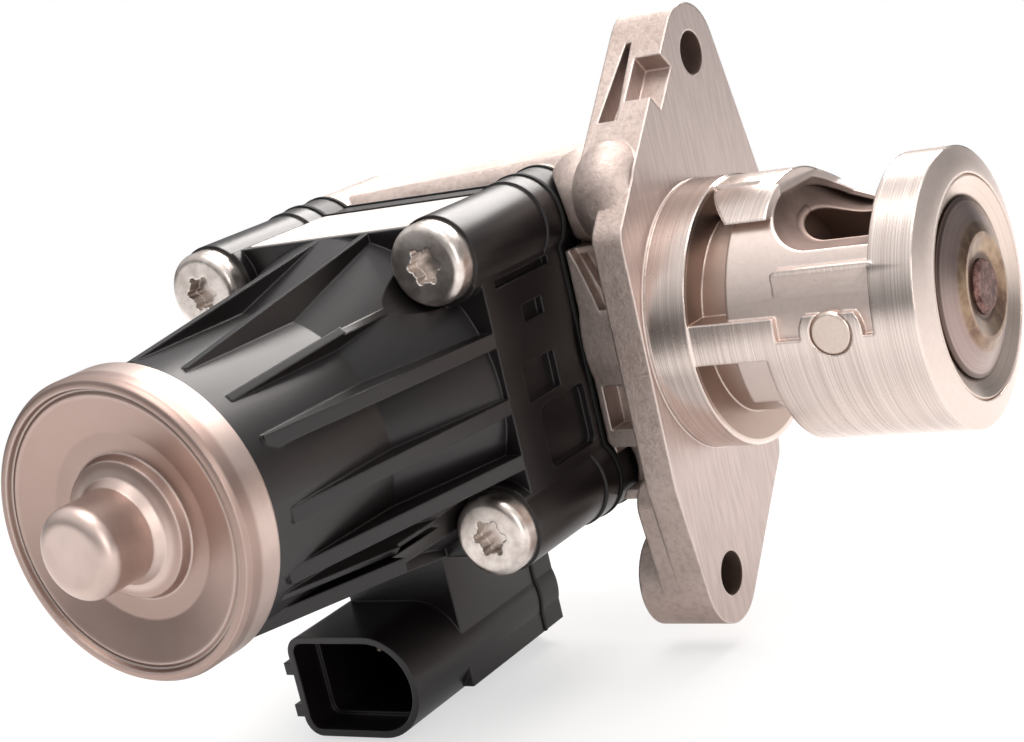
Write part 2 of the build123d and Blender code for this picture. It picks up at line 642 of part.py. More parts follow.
    # blind screw holes
    with BuildSketch(motor_plane(BOSS_FRONT + SCREW_LENGTH + 1.0)):
        with GridLocations(SCREW_PITCH_X, SCREW_PITCH_Z, 2, 2):
            Circle(SCREW_RADIUS + SEAT_FIT)
    extrude(amount=BOSS_FRONT + SCREW_LENGTH + 1.0 - CASE_BACK, mode=Mode.SUBTRACT)

valve_housing.part.label = "valve_housing"
export_step(valve_housing.part, "parts/valve_housing.step")

with BuildPart() as seat_insert:
    with BuildSketch(Plane.XY):
        with BuildLine():
            Polyline(
                (SEAT_FACE - SEAT_LENGTH, THROAT_RADIUS),
                (SEAT_FACE - SEAT_LENGTH, SEAT_RADIUS - SEAT_FIT),
                (SEAT_FACE - 0.4, SEAT_RADIUS - SEAT_FIT),
                (SEAT_FACE, SEAT_RADIUS - 0.4),
                (SEAT_RIM_X, POPPET_RADIUS + 0.1),
                (SEAT_RIM_X - SEAT_CONE, THROAT_RADIUS),
                close=True,
            )
        make_face()
    revolve(axis=Axis.X)

seat_insert.part.label = "seat_insert"
export_step(seat_insert.part, "parts/seat_insert.step")

with BuildPart() as poppet:
    with BuildSketch(Plane.XY):
        with BuildLine():
            Polyline(
                (SEAT_RIM_X - SEAT_CONE + 0.05, STEM_RADIUS),
                (SEAT_RIM_X - SEAT_CONE + 0.05, THROAT_RADIUS),
                (SEAT_RIM_X, POPPET_RADIUS),
                (SEAT_RIM_X + 0.5, POPPET_RADIUS),
                (SEAT_RIM_X + POPPET_CREST, POPPET_CREST_RADIUS),
                (SEAT_RIM_X + POPPET_CREST, POPPET_CREST_RADIUS - POPPET_LAND),
                (SEAT_RIM_X + POPPET_CREST - POPPET_DISH, STEM_RADIUS + POPPET_LAND),
                (SEAT_RIM_X + POPPET_CREST - POPPET_DISH, STEM_RADIUS),
                close=True,
            )
        make_face()
    revolve(axis=Axis.X)

poppet.part.label = "poppet"
export_step(poppet.part, "parts/poppet.step")

with BuildPart() as valve_stem:
    with BuildSketch(valve_plane(STEM_TAIL)):
        Circle(STEM_RADIUS)
    extrude(amount=SEAT_RIM_X + POPPET_CREST + STEM_HEAD - STEM_TAIL)
    chamfer(valve_stem.faces().sort_by(Axis.X)[-1].edges(), length=0.6)

valve_stem.part.label = "valve_stem"
export_step(valve_stem.part, "parts/valve_stem.step")

with BuildPart() as stem_guide:
    with BuildSketch(valve_plane(GUIDE_START)):
        Circle(GUIDE_RADIUS)
        Circle(STEM_RADIUS + RUNNING_FIT, mode=Mode.SUBTRACT)
    extrude(amount=GUIDE_LENGTH)

stem_guide.part.label = "stem_guide"
export_step(stem_guide.part, "parts/stem_guide.step")

with BuildPart() as stem_seal:
    with BuildSketch(valve_plane(GUIDE_START - SEAL_LENGTH)):
        Circle(GUIDE_RADIUS)
        Circle(STEM_RADIUS + RUNNING_FIT, mode=Mode.SUBTRACT)
    extrude(amount=SEAL_LENGTH)
    fillet(stem_seal.faces().sort_by(Axis.X)[0].edges(), radius=0.5)

stem_seal.part.label = "stem_seal"
export_step(stem_seal.part, "parts/stem_seal.step")

with BuildPart() as spring_retainer:
    with BuildSketch(valve_plane(RETAINER_X)):
        Circle(SPRING_RADIUS + SPRING_WIRE)
        Circle(STEM_RADIUS + SEAT_FIT, mode=Mode.SUBTRACT)
    extrude(amount=RETAINER_THICKNESS)
    with BuildSketch(valve_plane(RETAINER_X + RETAINER_THICKNESS)):
        Circle(SPRING_RADIUS - SPRING_WIRE)
        Circle(STEM_RADIUS + SEAT_FIT, mode=Mode.SUBTRACT)
    extrude(amount=RETAINER_THICKNESS)

spring_retainer.part.label = "spring_retainer"
export_step(spring_retainer.part, "parts/spring_retainer.step")

with BuildPart() as return_spring:
    spring_start = RETAINER_X + RETAINER_THICKNESS + SPRING_WIRE / 2 + SEAT_FIT
    spring_run = SPRING_SEAT - SPRING_WIRE / 2 - SEAT_FIT - spring_start
    with BuildLine():
        coil = Helix(pitch=spring_run / SPRING_COILS, height=spring_run, radius=SPRING_RADIUS,
                     center=(spring_start, 0, 0), direction=(1, 0, 0))
    with BuildSketch(Plane(origin=coil @ 0, z_dir=coil % 0)):
        Circle(SPRING_WIRE / 2)
    sweep(path=coil, is_frenet=True)

return_spring.part.label = "return_spring"
export_step(return_spring.part, "parts/return_spring.step")

with BuildPart() as stem_yoke:
    with BuildSketch(Plane.XZ.offset(YOKE_HALF_DEPTH)):
        with BuildLine():
            Polyline(
                (FOLLOWER_X, YOKE_HALF_HEIGHT),
                (STEM_TAIL, YOKE_HALF_HEIGHT),
                (STEM_TAIL, -YOKE_HALF_HEIGHT),
                (FOLLOWER_X, -YOKE_HALF_HEIGHT),
            )
            ThreePointArc(
                (FOLLOWER_X, -YOKE_HALF_HEIGHT),
                (FOLLOWER_X - YOKE_HALF_HEIGHT, 0),
                (FOLLOWER_X, YOKE_HALF_HEIGHT),
            )
        make_face()
    extrude(amount=-2 * YOKE_HALF_DEPTH)
    with BuildSketch(valve_plane(STEM_TAIL - 2.0)):
        Circle(YOKE_HUB_RADIUS)
    extrude(amount=YOKE_HUB_LENGTH)
    with BuildSketch(valve_plane(STEM_TAIL)):
        Circle(STEM_RADIUS + SEAT_FIT)
    extrude(amount=YOKE_HUB_LENGTH, mode=Mode.SUBTRACT)
    with BuildSketch(Plane.XZ.offset(YOKE_HALF_DEPTH)):
        with Locations((FOLLOWER_X, 0)):
            Circle(FOLLOWER_RADIUS + SEAT_FIT)
    extrude(amount=-2 * YOKE_HALF_DEPTH, mode=Mode.SUBTRACT)

stem_yoke.part.label = "stem_yoke"
export_step(stem_yoke.part, "parts/stem_yoke.step")

with BuildPart() as follower_pin:
    with BuildSketch(Plane.XZ.offset(-CAM_BACK + SLOT_DEPTH - FREE_GAP)):
        with Locations((FOLLOWER_X, 0)):
            Circle(FOLLOWER_RADIUS)
    extrude(amount=CAM_BACK - SLOT_DEPTH + FREE_GAP - YOKE_HALF_DEPTH)
    chamfer(follower_pin.faces().sort_by(Axis.Y)[0].edges(), length=0.3)

follower_pin.part.label = "follower_pin"
export_step(follower_pin.part, "parts/follower_pin.step")

with BuildPart() as channel_plug:
    with BuildSketch(Plane.XZ.offset(PAD_FACE + PLUG_PROUD - PLUG_LENGTH)):
        with Locations((PLUG_X, PLUG_Z)):
            Circle(PLUG_RADIUS - SEAT_FIT)
    extrude(amount=PLUG_LENGTH)
    chamfer(channel_plug.faces().sort_by(Axis.Y)[0].edges(), length=0.4)

channel_plug.part.label = "channel_plug"
export_step(channel_plug.part, "parts/channel_plug.step")


# ================================================================ actuator case
with BuildPart() as housing_gasket:
    with BuildSketch(motor_plane(CASE_BACK)):
        case_outline(GASKET_EDGE)
        Circle(CAVITY_RADIUS, mode=Mode.SUBTRACT)
        screw_holes(SCREW_HOLE_RADIUS)
    extrude(amount=GASKET)

housing_gasket.part.label = "housing_gasket"
export_step(housing_gasket.part, "parts/housing_gasket.step")

with BuildPart() as gear_case:
    with BuildSketch(motor_plane(GEAR_CASE_BACK)):
        case_outline()
        socket_outline()
        neck_outline()
        screw_holes(SCREW_HOLE_RADIUS)
    extrude(amount=GEAR_CASE_BACK - GEAR_CASE_FRONT)
    with BuildSketch(motor_plane(GEAR_CASE_FRONT)):
        Circle(BEARING_RADIUS + BEARING_BOSS_WALL)
        with PolarLocations(BOARD_POST_ORBIT, 4, start_angle=45):
            Circle(BOARD_POST_RADIUS)
    extrude(amount=GEAR_CASE_FRONT - BOARD_BACK)
    with BuildSketch(motor_plane(BOARD_BACK)):
        Circle(BEARING_RADIUS + BEARING_BOSS_WALL)
    extrude(amount=BOARD_BACK - BEARING_FRONT)
    with BuildSketch(motor_plane(BEARING_FRONT + BEARING_WIDTH)):
        Circle(BEARING_RADIUS + SEAT_FIT)
    extrude(amount=BEARING_WIDTH, mode=Mode.SUBTRACT)
    with BuildSketch(motor_plane(GEAR_CASE_BACK)):
        Circle(OUTPUT_SHAFT_RADIUS + FREE_GAP)
    extrude(amount=GEAR_CASE_BACK - BEARING_FRONT, mode=Mode.SUBTRACT)

gear_case.part.label = "gear_case"
export_step(gear_case.part, "parts/gear_case.step")

with BuildPart() as cover_gasket:
    with BuildSketch(motor_plane(GEAR_CASE_FRONT)):
        case_outline(GASKET_EDGE)
        socket_outline(GASKET_EDGE)
        neck_outline(GASKET_EDGE)
        Circle(CAVITY_RADIUS, mode=Mode.SUBTRACT)
        pin_well(mode=Mode.SUBTRACT)
        screw_holes(SCREW_HOLE_RADIUS)
    extrude(amount=GASKET)

cover_gasket.part.label = "cover_gasket"
export_step(cover_gasket.part, "parts/cover_gasket.step")


def gusset(angle, side_offset, plate_reach, foot, thickness):
    """Tapering rib from the case's plate down to the motor barrel."""
    outside = sqrt(BARREL_RADIUS**2 - side_offset**2)
    with BuildSketch(radial_plane(angle, side_offset)) as rib:
        with BuildLine():
            Polyline(
                (outside - RIB_ROOT, RIB_END),
                (outside + RIB_TOE, RIB_END),
                (plate_reach, foot),
                (outside - RIB_ROOT, foot),
                close=True,
            )
        make_face()
    extrude(rib.sketch, amount=thickness / 2, both=True)


with BuildPart() as actuator_cover:
    with BuildSketch(motor_plane(SPLIT)):
        case_outline()
    extrude(amount=SPLIT - COVER_PLATE)
    with BuildSketch(motor_plane(COVER_PLATE)):
        with GridLocations(SCREW_PITCH_X, SCREW_PITCH_Z, 2, 2):
            Circle(SCREW_BOSS_RADIUS)
    extrude(amount=COVER_PLATE - BOSS_FRONT)
    # barrel, its flare and the spigot under the end cap
    with BuildSketch(TURNED_PROFILE):
        with BuildLine():
            Polyline(
                (0, COVER_PLATE),
                (FLARE_RADIUS, COVER_PLATE),
                (BARREL_RADIUS, FLARE_END),
                (BARREL_RADIUS, BARREL_END),
                (CAP_RADIUS - CAP_SHEET - SEAT_FIT, BARREL_END),
                (CAP_RADIUS - CAP_SHEET - SEAT_FIT, BARREL_END - SPIGOT_LENGTH),
                (0, BARREL_END - SPIGOT_LENGTH),
                close=True,
            )
        make_face()
    revolve(axis=MOTOR_AXIS)
    for rib_offset in SIDE_RIBS:
        gusset(0, rib_offset, CASE_HALF_WIDTH, COVER_PLATE, SIDE_RIB_THICKNESS)
        gusset(180, -rib_offset, CASE_HALF_WIDTH, COVER_PLATE, SIDE_RIB_THICKNESS)
    for rib_offset in TOP_RIBS:
        gusset(90, -rib_offset, CASE_HALF_HEIGHT, COVER_PLATE, TOP_RIB_THICKNESS)
        gusset(270, rib_offset, CASE_HALF_HEIGHT, COVER_PLATE, TOP_RIB_THICKNESS)
    for corner in (1, -1):
        corner_angle = degrees(atan2(SCREW_PITCH_Z, corner * SCREW_PITCH_X))
        corner_reach = hypot(SCREW_PITCH_X, SCREW_PITCH_Z) / 2 - SCREW_BOSS_RADIUS / 2
        gusset(corner_angle, 0, corner_reach, BOSS_FRONT, TOP_RIB_THICKNESS)
        gusset(corner_angle + 180, 0, corner_reach, BOSS_FRONT, TOP_RIB_THICKNESS)
    # connector and its neck
    with BuildSketch(motor_plane(SPLIT)):
        socket_outline()
    extrude(amount=SPLIT - SOCKET_MOUTH)
    with BuildSketch(motor_plane(SPLIT)):
        neck_outline()
    extrude(amount=SPLIT - COVER_PLATE)
    with BuildSketch(motor_plane(SOCKET_MOUTH + KEY_TAB_LENGTH)):
        for tab_height in KEY_TABS:
            with Locations((SOCKET_X - MOTOR_X - SOCKET_WIDTH / 2, tab_height)):
                Rectangle(2 * KEY_TAB_HEIGHT, KEY_TAB_WIDTH)
    extrude(amount=KEY_TAB_LENGTH)
    with BuildSketch(motor_plane(SOCKET_FLOOR)):
        socket_outline(-SOCKET_WALL)
    extrude(amount=SOCKET_FLOOR - SOCKET_MOUTH, mode=Mode.SUBTRACT)
    with BuildSketch(motor_plane(SOCKET_STEP_END)):
        socket_outline(SOCKET_STEP - SOCKET_WALL)
    extrude(amount=SOCKET_STEP_END - SOCKET_MOUTH, mode=Mode.SUBTRACT)
    # recesses in the flat side towards the flange, and rings round the screw bosses
    with BuildSketch(valve_plane(CASE_SIDE - SIDE_RECESS)):
        with Locations((-24.8, 9.1)):
            Rectangle(5.5, 2.6)
        with Locations((-26.5, -0.8)):
            Rectangle(9.0, 5.6)
        with Locations((-22.5, -9.8)):
            RectangleRounded(13.0, 9.6, 1.5)
        with Locations((-25.5, 15.0)):
            Rectangle(15.0, 1.2)
    extrude(amount=SIDE_RECESS, mode=Mode.SUBTRACT)
    for ring_place in BOSS_RINGS:
        with BuildSketch(motor_plane(ring_place)) as boss_ring:
            with GridLocations(SCREW_PITCH_X, SCREW_PITCH_Z, 2, 2):
                Circle(SCREW_BOSS_RADIUS + 1)
            with GridLocations(SCREW_PITCH_X, SCREW_PITCH_Z, 2, 2):
                Circle(SCREW_BOSS_RADIUS - BOSS_RING_DEPTH, mode=Mode.SUBTRACT)
            RectangleRounded(2 * CASE_HALF_WIDTH, 2 * CASE_HALF_HEIGHT, CASE_CORNER, mode=Mode.SUBTRACT)
        extrude(boss_ring.sketch, amount=BOSS_RING_WIDTH, mode=Mode.SUBTRACT)
    # gear cavity, motor bore, shaft hole, pin well and screw holes
    with BuildSketch(motor_plane(SPLIT)):
        Circle(CAVITY_RADIUS)
    extrude(amount=SPLIT - CAVITY_FRONT, mode=Mode.SUBTRACT)
    with BuildSketch(motor_plane(CAN_FRONT)):
        Circle(CAN_RADIUS + SEAT_FIT)
    extrude(amount=CAN_FRONT - BARREL_END + SPIGOT_LENGTH, mode=Mode.SUBTRACT)
    with BuildSketch(motor_plane(CAVITY_FRONT)):
        Circle(NOSE_RADIUS + SEAT_FIT)
    extrude(amount=CAVITY_FRONT - CAN_FRONT, mode=Mode.SUBTRACT)
    with BuildSketch(motor_plane(SPLIT)):
        pin_well()
    extrude(amount=SPLIT - PIN_WELL_FRONT, mode=Mode.SUBTRACT)
    with BuildSketch(motor_plane(PIN_WELL_FRONT)):
        with Locations((SOCKET_X - MOTOR_X, SOCKET_Z)):
            with GridLocations(PIN_PITCH, PIN_PITCH, PIN_COUNT, 1):
                Rectangle(PIN_SIZE + 2 * SEAT_FIT, PIN_SIZE + 2 * SEAT_FIT)
    extrude(amount=PIN_WELL_FRONT - SOCKET_FLOOR, mode=Mode.SUBTRACT)
    with BuildSketch(motor_plane(SPLIT)):
        with GridLocations(SCREW_PITCH_X, SCREW_PITCH_Z, 2, 2):
            Circle(SCREW_HOLE_RADIUS)
    extrude(amount=SPLIT - BOSS_FRONT, mode=Mode.SUBTRACT)
    with BuildSketch(motor_plane(BOSS_FRONT)):
        with GridLocations(SCREW_PITCH_X, SCREW_PITCH_Z, 2, 2):
            Circle(SCREW_HEAD_RADIUS + HEAD_ROOM)
    extrude(amount=BOSS_FRONT - FLARE_END, mode=Mode.SUBTRACT)

actuator_cover.part.label = "actuator_cover"
export_step(actuator_cover.part, "parts/actuator_cover.step")

with BuildPart() as blank_label:
    with BuildSketch(Plane.XY.offset(CASE_HALF_HEIGHT)):
        with Locations((MOTOR_X, (COVER_PLATE + SPLIT) / 2)):
            RectangleRounded(LABEL_LENGTH, SPLIT - COVER_PLATE - 2 * LABEL_MARGIN, 1.0)
    extrude(amount=LABEL_SHEET)

blank_label.part.label = "blank_label"
export_step(blank_label.part, "parts/blank_label.step")

with BuildPart() as cover_screws:
    with BuildSketch(motor_plane(BOSS_FRONT)):
        with GridLocations(SCREW_PITCH_X, SCREW_PITCH_Z, 2, 2):
            Circle(SCREW_HEAD_RADIUS)
    extrude(amount=SCREW_HEAD_HEIGHT)
    fillet(cover_screws.faces().group_by(Axis.Y)[0].edges(), radius=SCREW_HEAD_ROUND)
    with BuildSketch(motor_plane(BOSS_FRONT + SCREW_LENGTH)):
        with GridLocations(SCREW_PITCH_X, SCREW_PITCH_Z, 2, 2):
            Circle(SCREW_RADIUS)
    extrude(amount=SCREW_LENGTH)
    with BuildSketch(motor_plane(BOSS_FRONT - SCREW_HEAD_HEIGHT + RECESS_DEPTH)):
        with GridLocations(SCREW_PITCH_X, SCREW_PITCH_Z, 2, 2):
            Circle(RECESS_RADIUS - RECESS_LOBE)
            with PolarLocations(RECESS_RADIUS - RECESS_LOBE, 6):
                Circle(RECESS_LOBE)
    extrude(amount=RECESS_DEPTH, mode=Mode.SUBTRACT)

cover_screws.part.label = "cover_screws"
export_step(cover_screws.part, "parts/cover_screws.step")


# ================================================================ motor
with BuildPart() as motor_can:
    with BuildSketch(motor_plane(CAN_FRONT)):
        Circle(CAN_RADIUS)
    extrude(amount=CAN_FRONT - CAN_REAR)
    with BuildSketch(motor_plane(CAN_FRONT)):
        Circle(NOSE_RADIUS)
    extrude(amount=CAN_FRONT - NOSE_END)
    with BuildSketch(motor_plane(CAN_FRONT - CAN_WALL)):
        Circle(CAN_RADIUS - CAN_WALL)
    extrude(amount=CAN_FRONT - CAN_WALL - CAN_REAR, mode=Mode.SUBTRACT)
    with BuildSketch(motor_plane(NOSE_END - CAN_WALL)):
        Circle(FRONT_BEARING_RADIUS + SEAT_FIT)
    extrude(amount=NOSE_END - CAN_FRONT, mode=Mode.SUBTRACT)
    with BuildSketch(motor_plane(NOSE_END)):
        Circle(MOTOR_SHAFT_RADIUS + FREE_GAP)
    extrude(amount=NOSE_END - CAN_FRONT + CAN_WALL, mode=Mode.SUBTRACT)

motor_can.part.label = "motor_can"
export_step(motor_can.part, "parts/motor_can.step")

with BuildPart() as motor_magnets:
    magnet_outside = CAN_RADIUS - CAN_WALL - SEAT_FIT
    magnet_inside = ARMATURE_RADIUS + MAGNET_GAP
    with BuildSketch(motor_plane(MAGNET_START + MAGNET_LENGTH)):
        Circle(magnet_outside)
        Circle(magnet_inside, mode=Mode.SUBTRACT)
        half_gap = radians((180 - MAGNET_SPAN) / 2)
        for side in (1, -1):
            with BuildLine():
                Polyline(
                    (0, 0),
                    (side * 2 * magnet_outside * cos(half_gap), 2 * magnet_outside * sin(half_gap)),
                    (side * 2 * magnet_outside * cos(half_gap), -2 * magnet_outside * sin(half_gap)),
                    close=True,
                )
            make_face(mode=Mode.SUBTRACT)
    extrude(amount=MAGNET_LENGTH)

motor_magnets.part.label = "motor_magnets"
export_step(motor_magnets.part, "parts/motor_magnets.step")

with BuildPart() as motor_shaft:
    with BuildSketch(motor_plane(PLANET_FRONT + PLANET_WIDTH)):
        Circle(MOTOR_SHAFT_RADIUS)
    extrude(amount=PLANET_FRONT + PLANET_WIDTH - REAR_BEARING_START)
    chamfer(motor_shaft.edges().filter_by(GeomType.CIRCLE), length=0.3)

motor_shaft.part.label = "motor_shaft"
export_step(motor_shaft.part, "parts/motor_shaft.step")

with BuildPart() as armature:
    with BuildSketch(motor_plane(ARMATURE_START + ARMATURE_LENGTH)):
        Circle(ARMATURE_RADIUS)
        with PolarLocations(ARMATURE_RADIUS - 1.0, ARMATURE_SLOTS):
            Rectangle(3.0, 1.4, mode=Mode.SUBTRACT)
        with PolarLocations(ARMATURE_RADIUS - 4.2, ARMATURE_SLOTS):
            Circle(1.9, mode=Mode.SUBTRACT)
        Circle(MOTOR_SHAFT_RADIUS, mode=Mode.SUBTRACT)
    extrude(amount=ARMATURE_LENGTH)

armature.part.label = "armature"
export_step(armature.part, "parts/armature.step")

with BuildPart() as commutator:
    with BuildSketch(motor_plane(COMMUTATOR_START + COMMUTATOR_LENGTH)):
        Circle(COMMUTATOR_RADIUS)
        Circle(MOTOR_SHAFT_RADIUS, mode=Mode.SUBTRACT)
        with PolarLocations(COMMUTATOR_RADIUS, ARMATURE_SLOTS):
            Rectangle(1.0, 0.4, mode=Mode.SUBTRACT)
    extrude(amount=COMMUTATOR_LENGTH)

commutator.part.label = "commutator"
export_step(commutator.part, "parts/commutator.step")

with BuildPart() as sun_pinion:
    with BuildSketch(motor_plane(PLANET_FRONT + PLANET_WIDTH)):
        with BuildLine():
            Polyline(*gear_outline(SUN_TEETH, SUN_PITCH + MODULE, SUN_PITCH - 1.2 * MODULE, -BACKLASH, 0),
                     close=True)
        make_face()
        Circle(MOTOR_SHAFT_RADIUS, mode=Mode.SUBTRACT)
    extrude(amount=PLANET_WIDTH + FREE_GAP)

sun_pinion.part.label = "sun_pinion"
export_step(sun_pinion.part, "parts/sun_pinion.step")

with BuildPart() as brush_carrier:
    with BuildSketch(motor_plane(BRUSH_PLATE_START + BRUSH_PLATE_THICKNESS)):
        Circle(CAN_RADIUS - CAN_WALL - SEAT_FIT)
        Circle(COMMUTATOR_RADIUS + FREE_GAP, mode=Mode.SUBTRACT)
    extrude(amount=BRUSH_PLATE_THICKNESS)
    with BuildSketch(motor_plane(BRUSH_PLATE_START + BRUSH_PLATE_THICKNESS + BRUSH_HEIGHT)):
        with PolarLocations(COMMUTATOR_RADIUS + FREE_GAP + 4.0, 2):
            Rectangle(8.0, 5.0)
    extrude(amount=BRUSH_HEIGHT)

brush_carrier.part.label = "brush_carrier"
export_step(brush_carrier.part, "parts/brush_carrier.step")


# ================================================================ bearings
with BuildPart() as motor_front_bearing:
    with BuildSketch(motor_plane(NOSE_END - CAN_WALL)):
        Circle(FRONT_BEARING_RADIUS)
        Circle(MOTOR_SHAFT_RADIUS + RUNNING_FIT, mode=Mode.SUBTRACT)
    extrude(amount=MOTOR_BEARING_WIDTH)
    chamfer(motor_front_bearing.edges().filter_by(GeomType.CIRCLE), length=0.3)

motor_front_bearing.part.label = "motor_front_bearing"
export_step(motor_front_bearing.part, "parts/motor_front_bearing.step")

with BuildPart() as motor_rear_bearing:
    with BuildSketch(motor_plane(REAR_BEARING_START + MOTOR_BEARING_WIDTH)):
        Circle(REAR_BEARING_RADIUS)
        Circle(MOTOR_SHAFT_RADIUS + RUNNING_FIT, mode=Mode.SUBTRACT)
    extrude(amount=MOTOR_BEARING_WIDTH)
    chamfer(motor_rear_bearing.edges().filter_by(GeomType.CIRCLE), length=0.3)

motor_rear_bearing.part.label = "motor_rear_bearing"
export_step(motor_rear_bearing.part, "parts/motor_rear_bearing.step")

with BuildPart() as output_bearing:
    with BuildSketch(motor_plane(BEARING_FRONT + BEARING_WIDTH)):
        Circle(BEARING_RADIUS)
        Circle(OUTPUT_SHAFT_RADIUS + RUNNING_FIT, mode=Mode.SUBTRACT)
    extrude(amount=BEARING_WIDTH)
    chamfer(output_bearing.edges().filter_by(GeomType.CIRCLE), length=0.4)

output_bearing.part.label = "output_bearing"
export_step(output_bearing.part, "parts/output_bearing.step")

with BuildPart() as motor_end_cap:
    with BuildSketch(TURNED_PROFILE):
        with BuildLine():
            Polyline(
                (CAP_RADIUS, BARREL_END),
                (CAP_RADIUS, CAP_FACE + 0.9),
                (CAP_RADIUS - 0.4, CAP_FACE + 0.2),
                (CAP_RADIUS - 0.9, CAP_FACE),
                (CAP_RADIUS - CAP_RIM + 0.4, CAP_FACE),
                (CAP_RADIUS - CAP_RIM, CAP_FACE + CAP_GROOVE_DEPTH),
                (CAP_RADIUS - CAP_RIM - 0.7, CAP_FACE + 0.6),
                (CAP_DISH_INSIDE, CAP_FACE + CAP_DISH_DEPTH),
                (CAP_COLLAR + 0.6, CAP_FACE + CAP_DISH_DEPTH + 0.2),
                (CAP_COLLAR, CAP_FACE + CAP_DISH_DEPTH - 1.2),
                (CAP_BOSS_RADIUS + 1.0, CAP_FACE + 0.6),
                (CAP_BOSS_RADIUS, CAP_FACE - 0.6),
                (CAP_BOSS_RADIUS, CAP_BOSS_END + CAP_BOSS_ROUND),
            )
            ThreePointArc(
                (CAP_BOSS_RADIUS, CAP_BOSS_END + CAP_BOSS_ROUND),
                (CAP_BOSS_RADIUS - CAP_BOSS_ROUND * (1 - cos(radians(45))),
                 CAP_BOSS_END + CAP_BOSS_ROUND * (1 - cos(radians(45)))),
                (CAP_BOSS_RADIUS - CAP_BOSS_ROUND, CAP_BOSS_END),
            )
            Polyline(
                (CAP_BOSS_RADIUS - CAP_BOSS_ROUND, CAP_BOSS_END),
                (0, CAP_BOSS_END),
                (0, REAR_BEARING_START - FREE_GAP),
                (REAR_BEARING_RADIUS - 1.0, REAR_BEARING_START - FREE_GAP),
                (REAR_BEARING_RADIUS - 1.0, REAR_BEARING_START),
                (REAR_BEARING_RADIUS + SEAT_FIT, REAR_BEARING_START),
                (REAR_BEARING_RADIUS + SEAT_FIT, REAR_BEARING_START + MOTOR_BEARING_WIDTH),
                (CAP_BOSS_RADIUS - 0.6, CAP_FACE + 1.4),
                (CAP_COLLAR - 0.6, CAP_FACE + CAP_DISH_DEPTH + CAP_SHEET - 0.6),
                (CAP_COLLAR + 0.6, CAP_FACE + CAP_DISH_DEPTH + CAP_SHEET + 0.2),
                (CAP_DISH_INSIDE, CAP_FACE + CAP_DISH_DEPTH + CAP_SHEET),
                (CAP_RADIUS - CAP_RIM - 0.7, CAP_FACE + CAP_SHEET + 0.6),
                (CAP_RADIUS - CAP_SHEET, CAP_FACE + CAP_SHEET + 0.9),
                (CAP_RADIUS - CAP_SHEET, BARREL_END),
                (CAP_RADIUS, BARREL_END),
            )
        make_face()
    revolve(axis=MOTOR_AXIS)

motor_end_cap.part.label = "motor_end_cap"
export_step(motor_end_cap.part, "parts/motor_end_cap.step")


# ================================================================ planetary gears and cam
with BuildPart() as ring_gear:
    ring_turn = (PLANET_TEETH + 1) * 180 / RING_TEETH
    with BuildSketch(motor_plane(GEAR_FRONT + RING_WIDTH)):
        Circle(CAVITY_RADIUS - SEAT_FIT)
        with BuildLine():
            Polyline(*gear_outline(RING_TEETH, RING_PITCH + 1.2 * MODULE, RING_PITCH - 0.9 * MODULE,
                                   BACKLASH, ring_turn), close=True)
        make_face(mode=Mode.SUBTRACT)
    extrude(amount=RING_WIDTH)

ring_gear.part.label = "ring_gear"
export_step(ring_gear.part, "parts/ring_gear.step")

for planet_number in range(PLANETS):
    place = planet_place(planet_number)
    centre_x, centre_z = polar_point(ORBIT, place)
    teeth_outline = gear_outline(PLANET_TEETH, PLANET_PITCH + MODULE, PLANET_PITCH - 1.2 * MODULE,
                                 -BACKLASH, planet_turn(place))
    with BuildPart() as planet_gear:
        with BuildSketch(motor_plane(PLANET_FRONT + PLANET_WIDTH)):
            with BuildLine():
                Polyline(*[(centre_x + x, centre_z + z) for x, z in teeth_outline], close=True)
            make_face()
            with Locations((centre_x, centre_z)):
                Circle(PLANET_PIN_RADIUS + RUNNING_FIT, mode=Mode.SUBTRACT)
        extrude(amount=PLANET_WIDTH)

    planet_gear.part.label = "planet_gear_" + str(planet_number + 1)
    export_step(planet_gear.part, "parts/" + planet_gear.part.label + ".step")

with BuildPart() as planet_carrier:
    with BuildSketch(motor_plane(CARRIER_BACK)):
        Circle(ORBIT + PLANET_PIN_RADIUS + 2.5)
        Circle(OUTPUT_SHAFT_RADIUS + SEAT_FIT, mode=Mode.SUBTRACT)
        for planet_number in range(PLANETS):
            with Locations(polar_point(ORBIT, planet_place(planet_number))):
                Circle(PLANET_PIN_RADIUS + SEAT_FIT, mode=Mode.SUBTRACT)
            with Locations(polar_point(ORBIT, planet_place(planet_number) + 180 / PLANETS)):
                Circle(PLANET_PIN_RADIUS + 1.0, mode=Mode.SUBTRACT)
    extrude(amount=CARRIER_THICKNESS)
    chamfer(planet_carrier.faces().sort_by(Axis.Y)[0].edges().sort_by(SortBy.LENGTH)[-1], length=0.5)

planet_carrier.part.label = "planet_carrier"
export_step(planet_carrier.part, "parts/planet_carrier.step")

with BuildPart() as planet_pins:
    with BuildSketch(motor_plane(CARRIER_BACK)):
        for planet_number in range(PLANETS):
            with Locations(polar_point(ORBIT, planet_place(planet_number))):
                Circle(PLANET_PIN_RADIUS)
    extrude(amount=CARRIER_BACK - GEAR_FRONT)
    chamfer(planet_pins.faces().group_by(Axis.Y)[0].edges(), length=0.3)

planet_pins.part.label = "planet_pins"
export_step(planet_pins.part, "parts/planet_pins.step")

